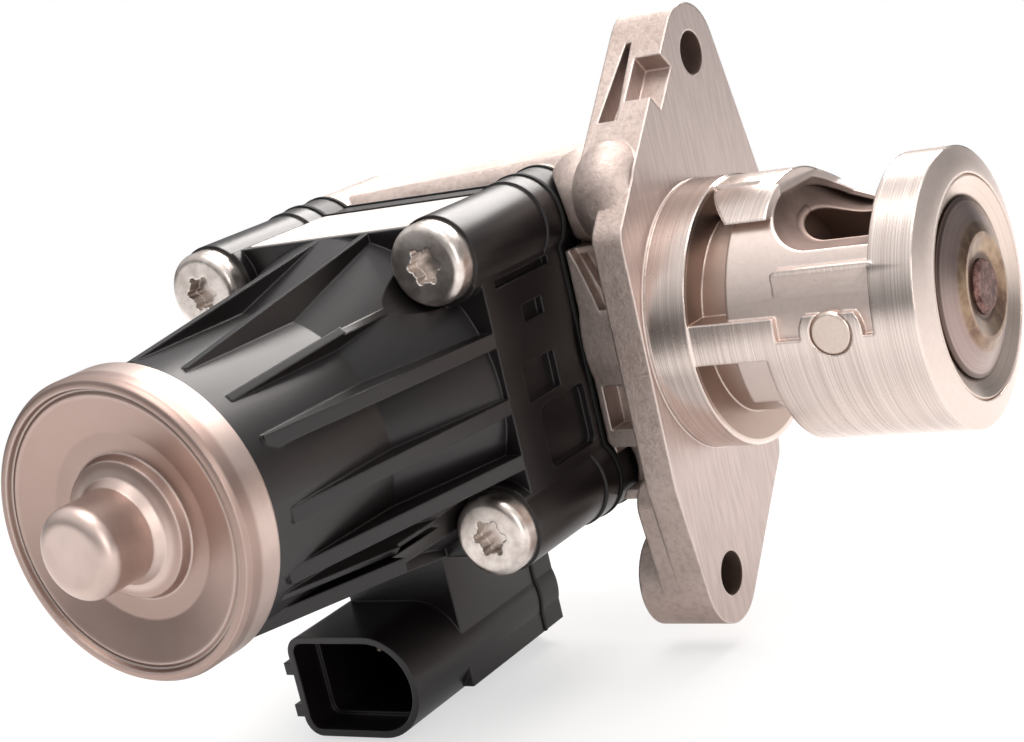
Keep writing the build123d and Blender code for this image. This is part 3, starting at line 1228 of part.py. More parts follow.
with BuildPart() as output_shaft:
    with BuildSketch(motor_plane(CAM_BACK)):
        Circle(OUTPUT_SHAFT_RADIUS)
    extrude(amount=CAM_BACK - CARRIER_FRONT)
    with BuildSketch(motor_plane(BEARING_FRONT)):
        Circle(SHOULDER_RADIUS)
    extrude(amount=BEARING_FRONT - CARRIER_BACK)
    with BuildSketch(motor_plane(PLANET_FRONT + PLANET_WIDTH)):
        Circle(MOTOR_SHAFT_RADIUS + FREE_GAP)
    extrude(amount=-FREE_GAP, mode=Mode.SUBTRACT)
    chamfer(output_shaft.faces().sort_by(Axis.Y)[-1].edges(), length=0.4)

output_shaft.part.label = "output_shaft"
export_step(output_shaft.part, "parts/output_shaft.step")


def cam_point(turn, offset):
    """Point of the cam's spiral at a turn, moved off its centre line by an offset.

    The centre line is r = CAM_START_RADIUS + CAM_RATE * turn at the angle -turn, so the
    follower moves by the same amount for each degree.
    """
    angle = radians(turn)
    radius = CAM_START_RADIUS + CAM_RATE * angle
    along = (CAM_RATE * cos(angle) - radius * sin(angle), -CAM_RATE * sin(angle) - radius * cos(angle))
    length = hypot(*along)
    return (
        radius * cos(angle) - offset * along[1] / length,
        -radius * sin(angle) + offset * along[0] / length,
    )


with BuildPart() as cam_disc:
    slot_half = FOLLOWER_RADIUS + RUNNING_FIT
    first = -CAM_OVERRUN
    last = OUTPUT_TURN + CAM_OVERRUN
    turns = [first + (last - first) * step / CAM_STEPS for step in range(CAM_STEPS + 1)]
    with BuildSketch(motor_plane(CAM_BACK)):
        Circle(CAM_RADIUS)
        Circle(OUTPUT_SHAFT_RADIUS + SEAT_FIT, mode=Mode.SUBTRACT)
    extrude(amount=CAM_THICKNESS)
    with BuildSketch(motor_plane(CAM_BACK)):
        with BuildLine():
            Spline(*[cam_point(turn, slot_half) for turn in turns])
            Line(cam_point(last, slot_half), cam_point(last, -slot_half))
            Spline(*[cam_point(turn, -slot_half) for turn in reversed(turns)])
            Line(cam_point(first, -slot_half), cam_point(first, slot_half))
        make_face()
        with Locations(cam_point(first, 0), cam_point(last, 0)):
            Circle(slot_half)
    extrude(amount=SLOT_DEPTH, mode=Mode.SUBTRACT)
    chamfer(cam_disc.faces().sort_by(Axis.Y)[0].edges().sort_by(SortBy.LENGTH)[-1], length=0.4)

cam_disc.part.label = "cam_disc"
export_step(cam_disc.part, "parts/cam_disc.step")


# ================================================================ position sensor and terminals
with BuildPart() as sensor_magnet:
    with BuildSketch(motor_plane(CARRIER_BACK + MAGNET_RING_THICKNESS)):
        Circle(MAGNET_RING_OUTSIDE)
        Circle(MAGNET_RING_INSIDE, mode=Mode.SUBTRACT)
    extrude(amount=MAGNET_RING_THICKNESS)

sensor_magnet.part.label = "sensor_magnet"
export_step(sensor_magnet.part, "parts/sensor_magnet.step")

with BuildPart() as sensor_board:
    with BuildSketch(motor_plane(BOARD_BACK)):
        Circle(BOARD_OUTSIDE)
        Circle(BOARD_INSIDE, mode=Mode.SUBTRACT)
    extrude(amount=BOARD_THICKNESS)
    with BuildSketch(motor_plane(BOARD_BACK - BOARD_THICKNESS)):
        with PolarLocations((BOARD_INSIDE + BOARD_OUTSIDE) / 2, 3, start_angle=60):
            Rectangle(4.0, 3.0)
    extrude(amount=0.9)

sensor_board.part.label = "sensor_board"
export_step(sensor_board.part, "parts/sensor_board.step")

with BuildPart() as terminal_pins:
    with BuildSketch(motor_plane(BOARD_BACK + PIN_SIZE)):
        with Locations((SOCKET_X - MOTOR_X, SOCKET_Z)):
            with GridLocations(PIN_PITCH, PIN_PITCH, PIN_COUNT, 1):
                Rectangle(PIN_SIZE, PIN_SIZE)
    extrude(amount=BOARD_BACK + PIN_SIZE - PIN_TIP)
    chamfer(terminal_pins.faces().group_by(Axis.Y)[0].edges(), length=0.25)
    with BuildSketch(motor_plane(BOARD_BACK + PIN_SIZE)):
        with Locations((SOCKET_X - MOTOR_X, (SOCKET_Z + PIN_TOP) / 2)):
            with GridLocations(PIN_PITCH, PIN_PITCH, PIN_COUNT, 1):
                Rectangle(PIN_SIZE, PIN_TOP - SOCKET_Z + PIN_SIZE)
    extrude(amount=PIN_SIZE)

terminal_pins.part.label = "terminal_pins"
export_step(terminal_pins.part, "parts/terminal_pins.step")
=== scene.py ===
"""Exhaust gas recirculation valve: finishes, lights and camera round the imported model."""
import json
import bmesh
import bpy
import numpy as np
from mathutils import Matrix, Vector


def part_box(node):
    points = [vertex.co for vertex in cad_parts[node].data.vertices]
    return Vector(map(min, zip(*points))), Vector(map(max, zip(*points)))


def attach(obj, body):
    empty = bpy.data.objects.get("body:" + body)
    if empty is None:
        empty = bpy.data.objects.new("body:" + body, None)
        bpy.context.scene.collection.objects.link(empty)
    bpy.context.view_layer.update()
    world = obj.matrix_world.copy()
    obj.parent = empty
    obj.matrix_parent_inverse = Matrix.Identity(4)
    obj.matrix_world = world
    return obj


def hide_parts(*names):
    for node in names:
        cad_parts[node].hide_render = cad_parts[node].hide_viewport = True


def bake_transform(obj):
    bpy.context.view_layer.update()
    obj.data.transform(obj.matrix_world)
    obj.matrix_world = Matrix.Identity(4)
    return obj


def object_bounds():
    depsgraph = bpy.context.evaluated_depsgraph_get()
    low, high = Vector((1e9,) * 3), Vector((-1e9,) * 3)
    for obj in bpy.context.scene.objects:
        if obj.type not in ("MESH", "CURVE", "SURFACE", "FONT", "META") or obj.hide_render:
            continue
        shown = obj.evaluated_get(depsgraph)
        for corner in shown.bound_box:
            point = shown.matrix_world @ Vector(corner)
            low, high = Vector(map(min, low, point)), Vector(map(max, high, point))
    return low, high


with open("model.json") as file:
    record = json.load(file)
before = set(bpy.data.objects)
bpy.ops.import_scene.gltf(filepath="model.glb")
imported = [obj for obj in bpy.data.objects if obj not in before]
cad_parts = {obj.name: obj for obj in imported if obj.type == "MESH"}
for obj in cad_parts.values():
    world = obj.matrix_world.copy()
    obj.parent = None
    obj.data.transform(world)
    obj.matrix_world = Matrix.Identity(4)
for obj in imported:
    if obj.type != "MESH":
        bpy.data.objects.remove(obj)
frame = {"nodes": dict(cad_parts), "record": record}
cad_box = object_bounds()

MM = 0.001
MOTOR_X = -0.0419           # the motor's axis stands at this x and at z = 0
BOLT_REACH = 0.04025        # the bolt holes' distance from the valve axis
BOLT_OUT, BOLT_UP = 0.2656, 0.9641  # direction of the upper one in y and z
EDGE = 0.0005               # radius of the edges' rounding in the shading, in metres
RUBBED_AND_LIT_WIDTH = 0.0006               # width of the strip along a metal edge that is rubbed and carries a painted highlight
GLINT = (0.92, 0.83, 0.78)  # colour of rubbed metal and of the painted highlight on its edges

# the casting's own forms, in millimetres
PILOT_RADIUS = 20.75
CARTRIDGE_RADIUS = 20.45
NECK_RADIUS = 19.2
NECK_START, NECK_END = 12.9, 36.3
ROOM_RADIUS = 17.5          # inside of the neck's wall behind the windows
CORE_RADIUS = 14.9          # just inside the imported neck, so that the sleeve joins it
WINDOW_START, WINDOW_END = 18.7, 35.6
WINDOW_BOTTOM = 11.2
WINDOW_ROUND = 7.0
WINDOW_TOP = 23.0
PAST = 21.5                 # a reach past the cartridge's outside
WEB_HALF = 7.6              # half width of the ear's web
RIDGE_HALF = 7.45
RIDGE_CORNER = 3.0
CAVITY_RADIUS = 22.4        # the drive bay's round cavity
CAVITY_LOW = 15.4           # lowest height of its roof above the motor's axis
COVER_EDGE, COVER_TOP = -34.9, 25.0  # where the bay's cover ends, and its height


# ---------------------------------------------------------------- shader arithmetic
class Sock:
    """A node's output; arithmetic on it adds Math nodes."""

    def __init__(self, mat, out):
        self.mat = mat
        self.out = out

    def maths(self, operation, *values):
        return self.mat.add("ShaderNodeMath", {"operation": operation}, *values)

    def __add__(self, other):
        return self.maths("ADD", self, other)

    def __radd__(self, other):
        return self.maths("ADD", other, self)

    def __sub__(self, other):
        return self.maths("SUBTRACT", self, other)

    def __rsub__(self, other):
        return self.maths("SUBTRACT", other, self)

    def __mul__(self, other):
        return self.maths("MULTIPLY", self, other)

    def __rmul__(self, other):
        return self.maths("MULTIPLY", other, self)

    def __truediv__(self, other):
        return self.maths("DIVIDE", self, other)

    def __pow__(self, other):
        return self.maths("POWER", self, other)

    def __abs__(self):
        return self.maths("ABSOLUTE", self)

    def __or__(self, other):
        """The larger of the two."""
        return self.maths("MAXIMUM", self, other)

    def above(self, edge, width):
        """0 below edge, 1 past it, with a smooth step of the given width."""
        return self.mat.add("ShaderNodeMapRange", {"interpolation_type": "SMOOTHSTEP"},
                            self, edge - width / 2, edge + width / 2, 0.0, 1.0)

    def below(self, edge, width):
        """1 below edge, 0 past it."""
        return 1.0 - self.above(edge, width)

    def between(self, start, end, width):
        """1 from start to end, 0 outside."""
        return self.above(start, width) * self.below(end, width)


class Finish:
    """A material under construction: a Principled shader and the nodes that feed it."""

    def __init__(self, name, metallic=0.0, **constants):
        self.material = bpy.data.materials.new(name)
        self.material.use_nodes = True
        self.tree = self.material.node_tree
        self.shader = self.tree.nodes["Principled BSDF"]
        self.shader.inputs["Metallic"].default_value = metallic
        for socket, value in constants.items():
            self.shader.inputs[socket.replace("_", " ")].default_value = value
        position = self.add("ShaderNodeTexCoord", {}, output="Object")
        self.place = position
        split = self.add("ShaderNodeSeparateXYZ", {}, position).out.node
        self.x, self.y, self.z = (Sock(self, out) for out in split.outputs)

    def add(self, kind, settings, *values, output=0, **named):
        """A node of any type, its settings first, then the values or links of its sockets."""
        node = self.tree.nodes.new(kind)
        for key, value in settings.items():
            if key == "stops":
                ramp = node.color_ramp.elements
                while len(ramp) < len(value):
                    ramp.new(0.5)
                for element, (at, colour) in zip(ramp, value):
                    element.position = at
                    element.color = (*colour, 1.0)
            else:
                setattr(node, key, value)
        for socket, value in zip(node.inputs, values):
            self.fill(socket, value)
        for socket, value in named.items():
            self.fill(node.inputs[socket], value)
        return Sock(self, node.outputs[output])

    def fill(self, socket, value):
        """Links a value to a socket, or sets it there; None leaves the socket as it is."""
        if isinstance(value, Sock):
            self.tree.links.new(value.out, socket)
        elif value is not None:
            socket.default_value = value

    def noise(self, scale, detail=3.0, roughness=0.55, where=None, stretch=None):
        """Noise from 0 to 1; scale is in waves per metre, stretch squeezes it along the axes."""
        where = where or self.place
        if stretch:
            where = self.add("ShaderNodeVectorMath", {"operation": "MULTIPLY"}, where, stretch)
        return self.add("ShaderNodeTexNoise", {}, Vector=where, Scale=scale, Detail=detail,
                        Roughness=roughness)

    def radius(self, a, b, middle_a=0.0, middle_b=0.0):
        """Distance from an axis: the root of the two squared offsets."""
        return ((a - middle_a) ** 2.0 + (b - middle_b) ** 2.0) ** 0.5

    def mix(self, share, low, high):
        """Colour mix from low to high."""
        low, high = (v if isinstance(v, Sock) else (*v, 1.0) for v in (low, high))
        node = self.tree.nodes.new("ShaderNodeMix")
        node.data_type = "RGBA"
        factor, first, second, result = 0, 6, 7, 2  # the colour sockets' places in the node
        self.fill(node.inputs[factor], share)
        self.fill(node.inputs[first], low)
        self.fill(node.inputs[second], high)
        return Sock(self, node.outputs[result])

    def feed(self, **sockets):
        """Links values to the shader's own sockets, underscores standing for spaces."""
        for name, value in sockets.items():
            self.fill(self.shader.inputs[name.replace("_", " ")], value)

    def facing(self, axis):
        """How squarely the surface faces along an axis, from -1 to 1."""
        normal = self.add("ShaderNodeNewGeometry", {}, output=1)
        split = self.add("ShaderNodeSeparateXYZ", {}, normal).out.node
        return Sock(self, split.outputs[axis])

    def edges(self, width):
        """1 along outer and inner edges, 0 on the flats: where the rounded normal turns away."""
        rounded = self.add("ShaderNodeBevel", {"samples": 6}, width)
        true = self.add("ShaderNodeNewGeometry", {}, output=1)
        dot = self.add("ShaderNodeVectorMath", {"operation": "DOT_PRODUCT"}, rounded, true,
                       output="Value")
        return (1.0 - dot).above(0.08, 0.12)

    def relief(self, height, depth, strength=1.0, edge=0.0):
        """Bump of a height field, depth in metres, over edges rounded by the given radius."""
        round_normal = self.add("ShaderNodeBevel", {"samples": 6}, edge) if edge else None
        bump = self.add("ShaderNodeBump", {}, Strength=strength, Distance=depth, Height=height,
                        Normal=round_normal)
        self.feed(Normal=bump)


# ---------------------------------------------------------------- finishes
def cast_and_machined():
    """Blasted casting skin, with lathe rings where the cutter reached: the full-radius bands."""
    f = Finish("cast_metal", metallic=1.0)
    reach = f.radius(f.y, f.z)
    crisp = 0.0003
    along_ear = abs(f.z * BOLT_UP + f.y * BOLT_OUT)
    across_ear = abs(f.z * BOLT_OUT - f.y * BOLT_UP)
    bolt_hole = f.radius(along_ear, across_ear, BOLT_REACH).below(0.00345, 0.0001)
    room = (f.x.between(0.0184, 0.0362, crisp) * f.z.above(0.0107, crisp)
            * reach.below(0.0189, crisp))
    bore = f.x.above(0.016, 0.002) * reach.below(0.0142, 0.0008)
    # soot and painted shade: the room behind the windows, the bore and the bolt holes are darkened
    # as recesses where shade falls, the gas passages also by soot
    soot_and_shade = room | bore | bolt_hole
    pocket = f.x.between(0.0068, 0.0132, crisp) * reach.below(0.0199, crisp)
    cartridge = f.x.above(0.0010, crisp)
    turned = reach.above(0.0203, 0.0002) * f.x.above(0.0005, crisp)
    milled = f.facing("X").above(0.98, 0.02) * f.x.below(0.0004, 0.0002)
    grain = f.noise(2300, 3.0, 0.6)
    pebbles = f.noise(900, 3.0, 0.65)
    patches = f.noise(60, 4.0, 0.6)
    rings = f.noise(1.0, 3.0, 0.65, stretch=(7000.0, 25.0, 25.0))
    arcs = f.noise(1.0, 2.0, 0.5, stretch=(20.0, 1500.0, 150.0))
    skin = f.mix(patches.above(0.5, 0.5), (0.53, 0.43, 0.39), (0.72, 0.61, 0.56))
    skin = f.mix(pebbles.above(0.42, 0.4), f.mix(0.35, skin, (0.24, 0.17, 0.145)), skin)
    # painted shade: surfaces facing down are darkened, those facing up keep the skin's colour
    lit_from_above = f.facing("Z").above(-0.2, 0.9)
    skin = f.mix(lit_from_above, f.mix(0.45, skin, (0.30, 0.215, 0.185)), skin)
    skin = f.mix(0.7 * cartridge, skin, (0.80, 0.68, 0.625))
    bright = f.mix(rings.above(0.5, 0.5), (0.58, 0.48, 0.44), (0.86, 0.76, 0.70))
    face = f.mix(arcs.above(0.5, 0.6), (0.47, 0.385, 0.36), (0.58, 0.485, 0.455))
    colour = f.mix(milled, f.mix(turned, skin, bright), face)
    # painted shade: the recessed face of the pocket is darkened where shadow falls
    shaded = f.mix(patches, (0.33, 0.24, 0.20), (0.50, 0.39, 0.34))
    colour = f.mix(pocket * (1.0 - turned), colour, shaded)
    # rubbed metal and painted highlight: edges, inner and outer, are lightened towards near-white
    rubbed_and_lit = f.edges(RUBBED_AND_LIT_WIDTH)
    colour = f.mix(0.55 * rubbed_and_lit, colour, (0.94, 0.83, 0.77))
    # painted shade with soot: dark tone for these recesses, paler in the bore
    soot_and_shade_tone = f.mix(patches.above(0.55, 0.4), (0.13, 0.088, 0.074), (0.27, 0.195, 0.17))
    soot_and_shade_tone = f.mix(bore, soot_and_shade_tone, (0.48, 0.36, 0.31))
    f.feed(Base_Color=f.mix(soot_and_shade, colour, soot_and_shade_tone),
           Roughness=(0.48 - 0.26 * turned - 0.10 * milled + 0.10 * patches - 0.15 * rubbed_and_lit
                      + 0.22 * soot_and_shade - 0.12 * cartridge * (1.0 - turned) * (1.0 - soot_and_shade)))
    blasted = (1.0 - turned) * (1.0 - 0.75 * milled) * (1.0 - 0.7 * cartridge)
    height = (0.6 * pebbles + 0.4 * grain) * blasted
    f.relief(height + 0.10 * rings * turned, 0.00025, 0.5, edge=EDGE)
    return f.material


def lathe_rings(f, along, middle):
    """Fine rings about an axis, and the distance from it."""
    reach = f.radius(f.y, f.z, *middle) if along == "x" else f.radius(f.x, f.z, *middle)
    run = f.x if along == "x" else f.y
    lathe = f.add("ShaderNodeCombineXYZ", {}, reach * 9000.0, run * 9000.0, 0.0)
    return f.noise(1.0, 2.0, 0.5, where=lathe), reach


def turned_steel(name, colour, middle=(0.0, 0.0), along="x", rough=0.28):
    """Metal turned on a lathe: fine rings round an axis, with faint patches."""
    f = Finish(name, metallic=1.0)
    rings, _ = lathe_rings(f, along, middle)
    patches = f.noise(120, 3.0)
    dark = tuple(0.824 * c for c in colour)
    f.feed(Base_Color=f.mix(patches.above(0.5, 0.7), dark, colour),
           Roughness=rough - 0.06 + 0.14 * rings + 0.08 * patches)
    f.relief(rings, 0.00004, 0.35)
    return f.material


def seat_ring():
    """Ground seat: bright cone, darkened by soot and by painted shadow in a line where the poppet
    closes.
    """
    f = Finish("seat_steel", metallic=1.0)
    rings, reach = lathe_rings(f, "x", (0.0, 0.0))
    patches = f.noise(160, 4.0, 0.6)
    # soot and painted shadow: the inner part, in the gap towards the poppet, is darkened
    soot_and_shade = reach.below(0.01345, 0.0005)
    bore = reach.below(0.0131, 0.0002)
    colour = f.mix(rings.above(0.5, 0.8), (0.62, 0.50, 0.44), (0.80, 0.69, 0.63))
    colour = f.mix(0.30 * patches, colour, (0.40, 0.29, 0.22))
    f.feed(Base_Color=f.mix(0.85 * soot_and_shade, colour, (0.10, 0.07, 0.055)),
           Roughness=0.22 + 0.14 * rings + 0.30 * soot_and_shade + 0.1 * bore)
    f.relief(rings, 0.00003, 0.35, edge=0.0003)
    return f.material


def heat_tinted_poppet():
    """Poppet run hot: violet grey cone, bronze dish, a soot ring round the stem darkened further as
    painted shade in its gap, and its rim darkened as painted shadow by the seat.
    """
    f = Finish("poppet_steel", metallic=1.0)
    rings, reach = lathe_rings(f, "x", (0.0, 0.0))
    stains = f.noise(260, 5.0, 0.65)
    cone = f.mix(rings.above(0.5, 0.8), (0.25, 0.18, 0.165), (0.42, 0.325, 0.30))
    dish = f.mix(stains.above(0.5, 0.5), (0.13, 0.070, 0.052), (0.38, 0.27, 0.18))
    inside = reach.below(0.0094, 0.0012)
    # soot and painted shade: the ring round the stem's end, in the gap, is darkened
    near = reach.below(0.0050, 0.0008)
    # painted shadow: the rim next to the seat is darkened
    rim = reach.above(0.01245, 0.0004)
    colour = f.mix(inside, cone, dish)
    colour = f.mix(0.80 * near, colour, (0.075, 0.042, 0.036))
    f.feed(Base_Color=f.mix(0.8 * rim, colour, (0.07, 0.045, 0.035)),
           Roughness=0.18 + 0.10 * rings + 0.16 * stains + 0.12 * near)
    f.relief(rings + 0.5 * stains, 0.00004, 0.35, edge=0.0003)
    return f.material


def swaged_stem():
    """Hardened stem: ground along its length, its swaged end pitted and browned."""
    f = Finish("stem_steel", metallic=1.0)
    rings, _ = lathe_rings(f, "x", (0.0, 0.0))
    pits = f.noise(700, 5.0, 0.75)
    end = f.x.above(0.0415, 0.0006)
    shank = f.mix(rings, (0.50, 0.45, 0.42), (0.66, 0.60, 0.56))
    bronze = f.mix(pits.above(0.52, 0.3), (0.07, 0.032, 0.030), (0.27, 0.155, 0.135))
    f.feed(Base_Color=f.mix(end, shank, bronze),
           Roughness=0.20 + 0.10 * rings + end * (0.12 + 0.25 * pits))
    f.relief(rings * (1.0 - end) * 0.15 + pits * end, 0.00030, 0.6)
    return f.material


def drawn_cap():
    """Cap drawn from sheet: satin rings about the motor's axis, browner and darker in its dish and
    on its rim as painted shade, with rubbing and a painted highlight along its edges.
    """
    f = Finish("cap_steel", metallic=1.0)
    rings, reach = lathe_rings(f, "y", about_motor)
    haze = f.noise(80, 4.0, 0.6)
    specks = f.noise(2600, 3.0, 0.6)
    dish = reach.below(0.0187, 0.0012) * reach.above(0.0085, 0.001)
    seam = reach.between(0.0190, 0.0198, 0.0003) * f.y.below(-0.090, 0.0005)
    back = f.y.below(-0.0885, 0.001)
    rim = back * reach.above(0.0188, 0.0006)
    colour = f.mix(haze.above(0.5, 0.6), (0.50, 0.385, 0.345), (0.68, 0.55, 0.50))
    # painted shade: the broad dish is darkened and browned
    colour = f.mix(0.75 * dish * back, colour, (0.36, 0.25, 0.215))
    # painted shade: the rim is darkened
    colour = f.mix(0.70 * rim, colour, (0.30, 0.20, 0.17))
    colour = f.mix(0.6 * seam, colour, (0.25, 0.18, 0.15))
    # rubbed metal and painted highlight: the cap's edges are lightened towards GLINT
    f.feed(Base_Color=f.mix(0.5 * f.edges(RUBBED_AND_LIT_WIDTH), colour, GLINT),
           Roughness=0.25 + 0.10 * rings + 0.12 * haze + 0.05 * specks)
    f.relief(0.4 * rings + 0.3 * specks, 0.00004, 0.35, edge=EDGE)
    return f.material


def moulded_plastic(name, colour, rough=0.31, edge=0.0004):
    """Glass-filled moulding: fine spark-eroded grain, flow marks, and rubbed edges that are also
    paled as a painted highlight.
    """
    f = Finish(name, Specular_IOR_Level=0.5)
    spark = f.noise(3400, 2.0, 0.5)
    flow = f.noise(1.0, 4.0, 0.6, stretch=(90.0, 35.0, 90.0))
    fibres = f.noise(1.0, 2.0, 0.5, stretch=(1500.0, 260.0, 1500.0))
    pale = tuple(2.2 * c + 0.004 for c in colour)
    darker = tuple(c * 0.7 for c in colour)
    base = f.mix(flow.above(0.5, 0.6), darker, colour)
    # rubbing and painted highlight: edges are paled
    if edge:
        base = f.mix(0.5 * f.edges(EDGE), base, pale)
    f.feed(Base_Color=base, Roughness=rough - 0.07 + 0.14 * flow + 0.08 * spark)
    f.relief(0.7 * spark + 0.3 * fibres, 0.00003, 0.5, edge=edge)
    return f.material


def rubber(name, colour):
    """Matt rubber or sintered ferrite with a cloudy bloom."""
    f = Finish(name, Specular_IOR_Level=0.3)
    bloom = f.noise(400, 4.0)
    f.feed(Base_Color=f.mix(bloom, colour, tuple(c * 1.8 + 0.01 for c in colour)),
           Roughness=0.62 + 0.2 * bloom)
    f.relief(bloom, 0.00005, 0.4)
    return f.material


def label_film():
    """Satin film with a thin printed border and nothing on it."""
    f = Finish("label_film", Specular_IOR_Level=0.5)
    weave = f.noise(900, 2.0)
    ripple = f.noise(120, 2.0)
    low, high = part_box("blank_label")
    middle = (low + high) / 2
    half = (high - low) / 2
    side = abs(f.x - middle.x)
    front = abs(f.y - middle.y)
    inset, line, sharp = 0.0009, 0.0003, 0.0001
    outer = side.below(half.x - inset, sharp) * front.below(half.y - inset, sharp)
    inset += line
    inner = side.below(half.x - inset, sharp) * front.below(half.y - inset, sharp)
    f.feed(Base_Color=f.mix(outer - inner, (0.86, 0.80, 0.77), (0.34, 0.30, 0.29)),
           Roughness=0.26 + 0.12 * weave)
    f.relief(0.3 * weave + ripple, 0.00005, 0.3)
    return f.material


def plated_screw():
    """Bright zinc plate with a clouded lustre, rubbed along its edges, which also carry a painted
    highlight.
    """
    f = Finish("screw_zinc", metallic=1.0)
    grain = f.noise(2600, 3.0)
    cloud = f.noise(420, 4.0, 0.6)
    colour = f.mix(cloud.above(0.5, 0.4), (0.55, 0.48, 0.44), (0.82, 0.75, 0.70))
    # rubbed zinc and painted highlight: edges are lightened towards near-white
    f.feed(Base_Color=f.mix(0.6 * f.edges(EDGE), colour, (0.95, 0.90, 0.86)),
           Roughness=0.22 + 0.14 * cloud + 0.06 * grain)
    f.relief(0.5 * grain + 0.5 * cloud, 0.00004, 0.4, edge=0.0004)
    return f.material


def solder_mask():
    """Green board with slightly paler tracks."""
    f = Finish("board_laminate", Specular_IOR_Level=0.5)
    tracks = f.noise(1200, 1.0)
    f.feed(Base_Color=f.mix(tracks.above(0.55, 0.05), (0.01, 0.10, 0.04), (0.02, 0.17, 0.07)),
           Roughness=0.35 + 0.1 * tracks)
    return f.material


about_motor = (MOTOR_X, 0.0)
finishes = {
    "cast_metal": cast_and_machined(),
    "seat_steel": seat_ring(),
    "poppet_steel": heat_tinted_poppet(),
    "stem_steel": swaged_stem(),
    "guide_bronze": turned_steel("guide_bronze", (0.60, 0.42, 0.24)),
    "black_plastic": moulded_plastic("black_plastic", (0.0072, 0.0052, 0.0056)),
    "gear_case_plastic": moulded_plastic("gear_case_plastic", (0.0075, 0.0062, 0.0066),
                                         rough=0.42),
    "seal_rubber": rubber("seal_rubber", (0.012, 0.012, 0.012)),
    "label_film": label_film(),
    "screw_zinc": plated_screw(),
    "cap_steel": drawn_cap(),
    "motor_steel": turned_steel("motor_steel", (0.50, 0.50, 0.50), about_motor, "y"),
    "magnet_ferrite": rubber("magnet_ferrite", (0.05, 0.05, 0.055)),
    "armature_stack": turned_steel("armature_stack", (0.30, 0.30, 0.32), about_motor, "y",
                                   rough=0.45),
    "copper": turned_steel("copper", (0.78, 0.42, 0.26), about_motor, "y"),
    "bearing_steel": turned_steel("bearing_steel", (0.62, 0.62, 0.63), about_motor, "y",
                                  rough=0.2),
    "gear_steel": turned_steel("gear_steel", (0.42, 0.41, 0.40), about_motor, "y", rough=0.4),
    "gear_plastic": moulded_plastic("gear_plastic", (0.72, 0.69, 0.60), edge=0.0),
    "spring_steel": turned_steel("spring_steel", (0.36, 0.36, 0.38), rough=0.35),
    "board_laminate": solder_mask(),
    "contact_tin": turned_steel("contact_tin", (0.75, 0.68, 0.50), rough=0.25),
}
for part in frame["record"]["subparts"]:
    node = frame["nodes"][part["node"]]
    for place in node.material_slots:
        place.material = finishes[part["material_slot"]]


# ---------------------------------------------------------------- closed pieces from sections
def carried(name, sections):
    """Closed solid through sections: (stations, points, 3) in millimetres, each a closed loop,
    walled loop to loop and capped at both ends."""
    stations, count = sections.shape[:2]
    corner = np.arange(stations * count).reshape(stations, count)
    following = np.roll(corner, -1, axis=1)
    walls = np.stack([corner[:-1], following[:-1], following[1:], corner[1:]], axis=-1)
    faces = walls.reshape(-1, 4).tolist() + [corner[0].tolist(), corner[-1].tolist()]
    mesh = bpy.data.meshes.new(name)
    mesh.from_pydata((sections.reshape(-1, 3) * MM).tolist(), [], faces)
    work = bmesh.new()
    work.from_mesh(mesh)
    bmesh.ops.recalc_face_normals(work, faces=work.faces)
    work.to_mesh(mesh)
    work.free()
    item = bpy.data.objects.new(name, mesh)
    bpy.context.collection.objects.link(item)
    return item


def loop_at(place, across, up, axis):
    """A flat loop as 3-D points: across and up are its two coordinates, place the third."""
    flat = np.full_like(across, place)
    order = {"x": (flat, across, up), "y": (across, flat, up)}[axis]
    return np.stack(order, axis=-1)


def straight(name, across, up, axis, start, end):
    """A loop carried straight along x or y from start to end."""
    return carried(name, np.stack([loop_at(place, across, up, axis) for place in (start, end)]))


def boxed(name, low_across, high_across, low_up, high_up, start, end):
    """A box from its sides in y and z, carried along x from start to end."""
    return straight(name, np.array([low_across, high_across, high_across, low_across]),
                    np.array([low_up, low_up, high_up, high_up]), "x", start, end)


def arc(middle, radius, start, end, steps):
    """Points of an arc: middle plus radius times cosine and sine of angles in degrees."""
    angle = np.radians(np.linspace(start, end, steps))
    return middle[0] + radius * np.cos(angle), middle[1] + radius * np.sin(angle)


def combined(item, operation, tool):
    """Joins, cuts or crosses two closed solids for good; the second one is used up."""
    step = item.modifiers.new("combine", "BOOLEAN")
    step.operation = operation
    step.solver = "EXACT"
    step.object = tool
    bpy.context.view_layer.update()
    ready = item.evaluated_get(bpy.context.evaluated_depsgraph_get())
    mesh = bpy.data.meshes.new_from_object(ready)
    item.modifiers.clear()
    item.data = mesh
    bpy.data.objects.remove(tool)
    return item


def surfaced(item, slot, angle):
    """Gives a piece its finish, and smooth shading up to an angle in radians."""
    mesh = item.data
    mesh.materials.clear()
    mesh.materials.append(finishes[slot])
    mesh.polygons.foreach_set("material_index", [0] * len(mesh.polygons))
    mesh.polygons.foreach_set("use_smooth", [True] * len(mesh.polygons))
    mesh.set_sharp_from_angle(angle=angle)


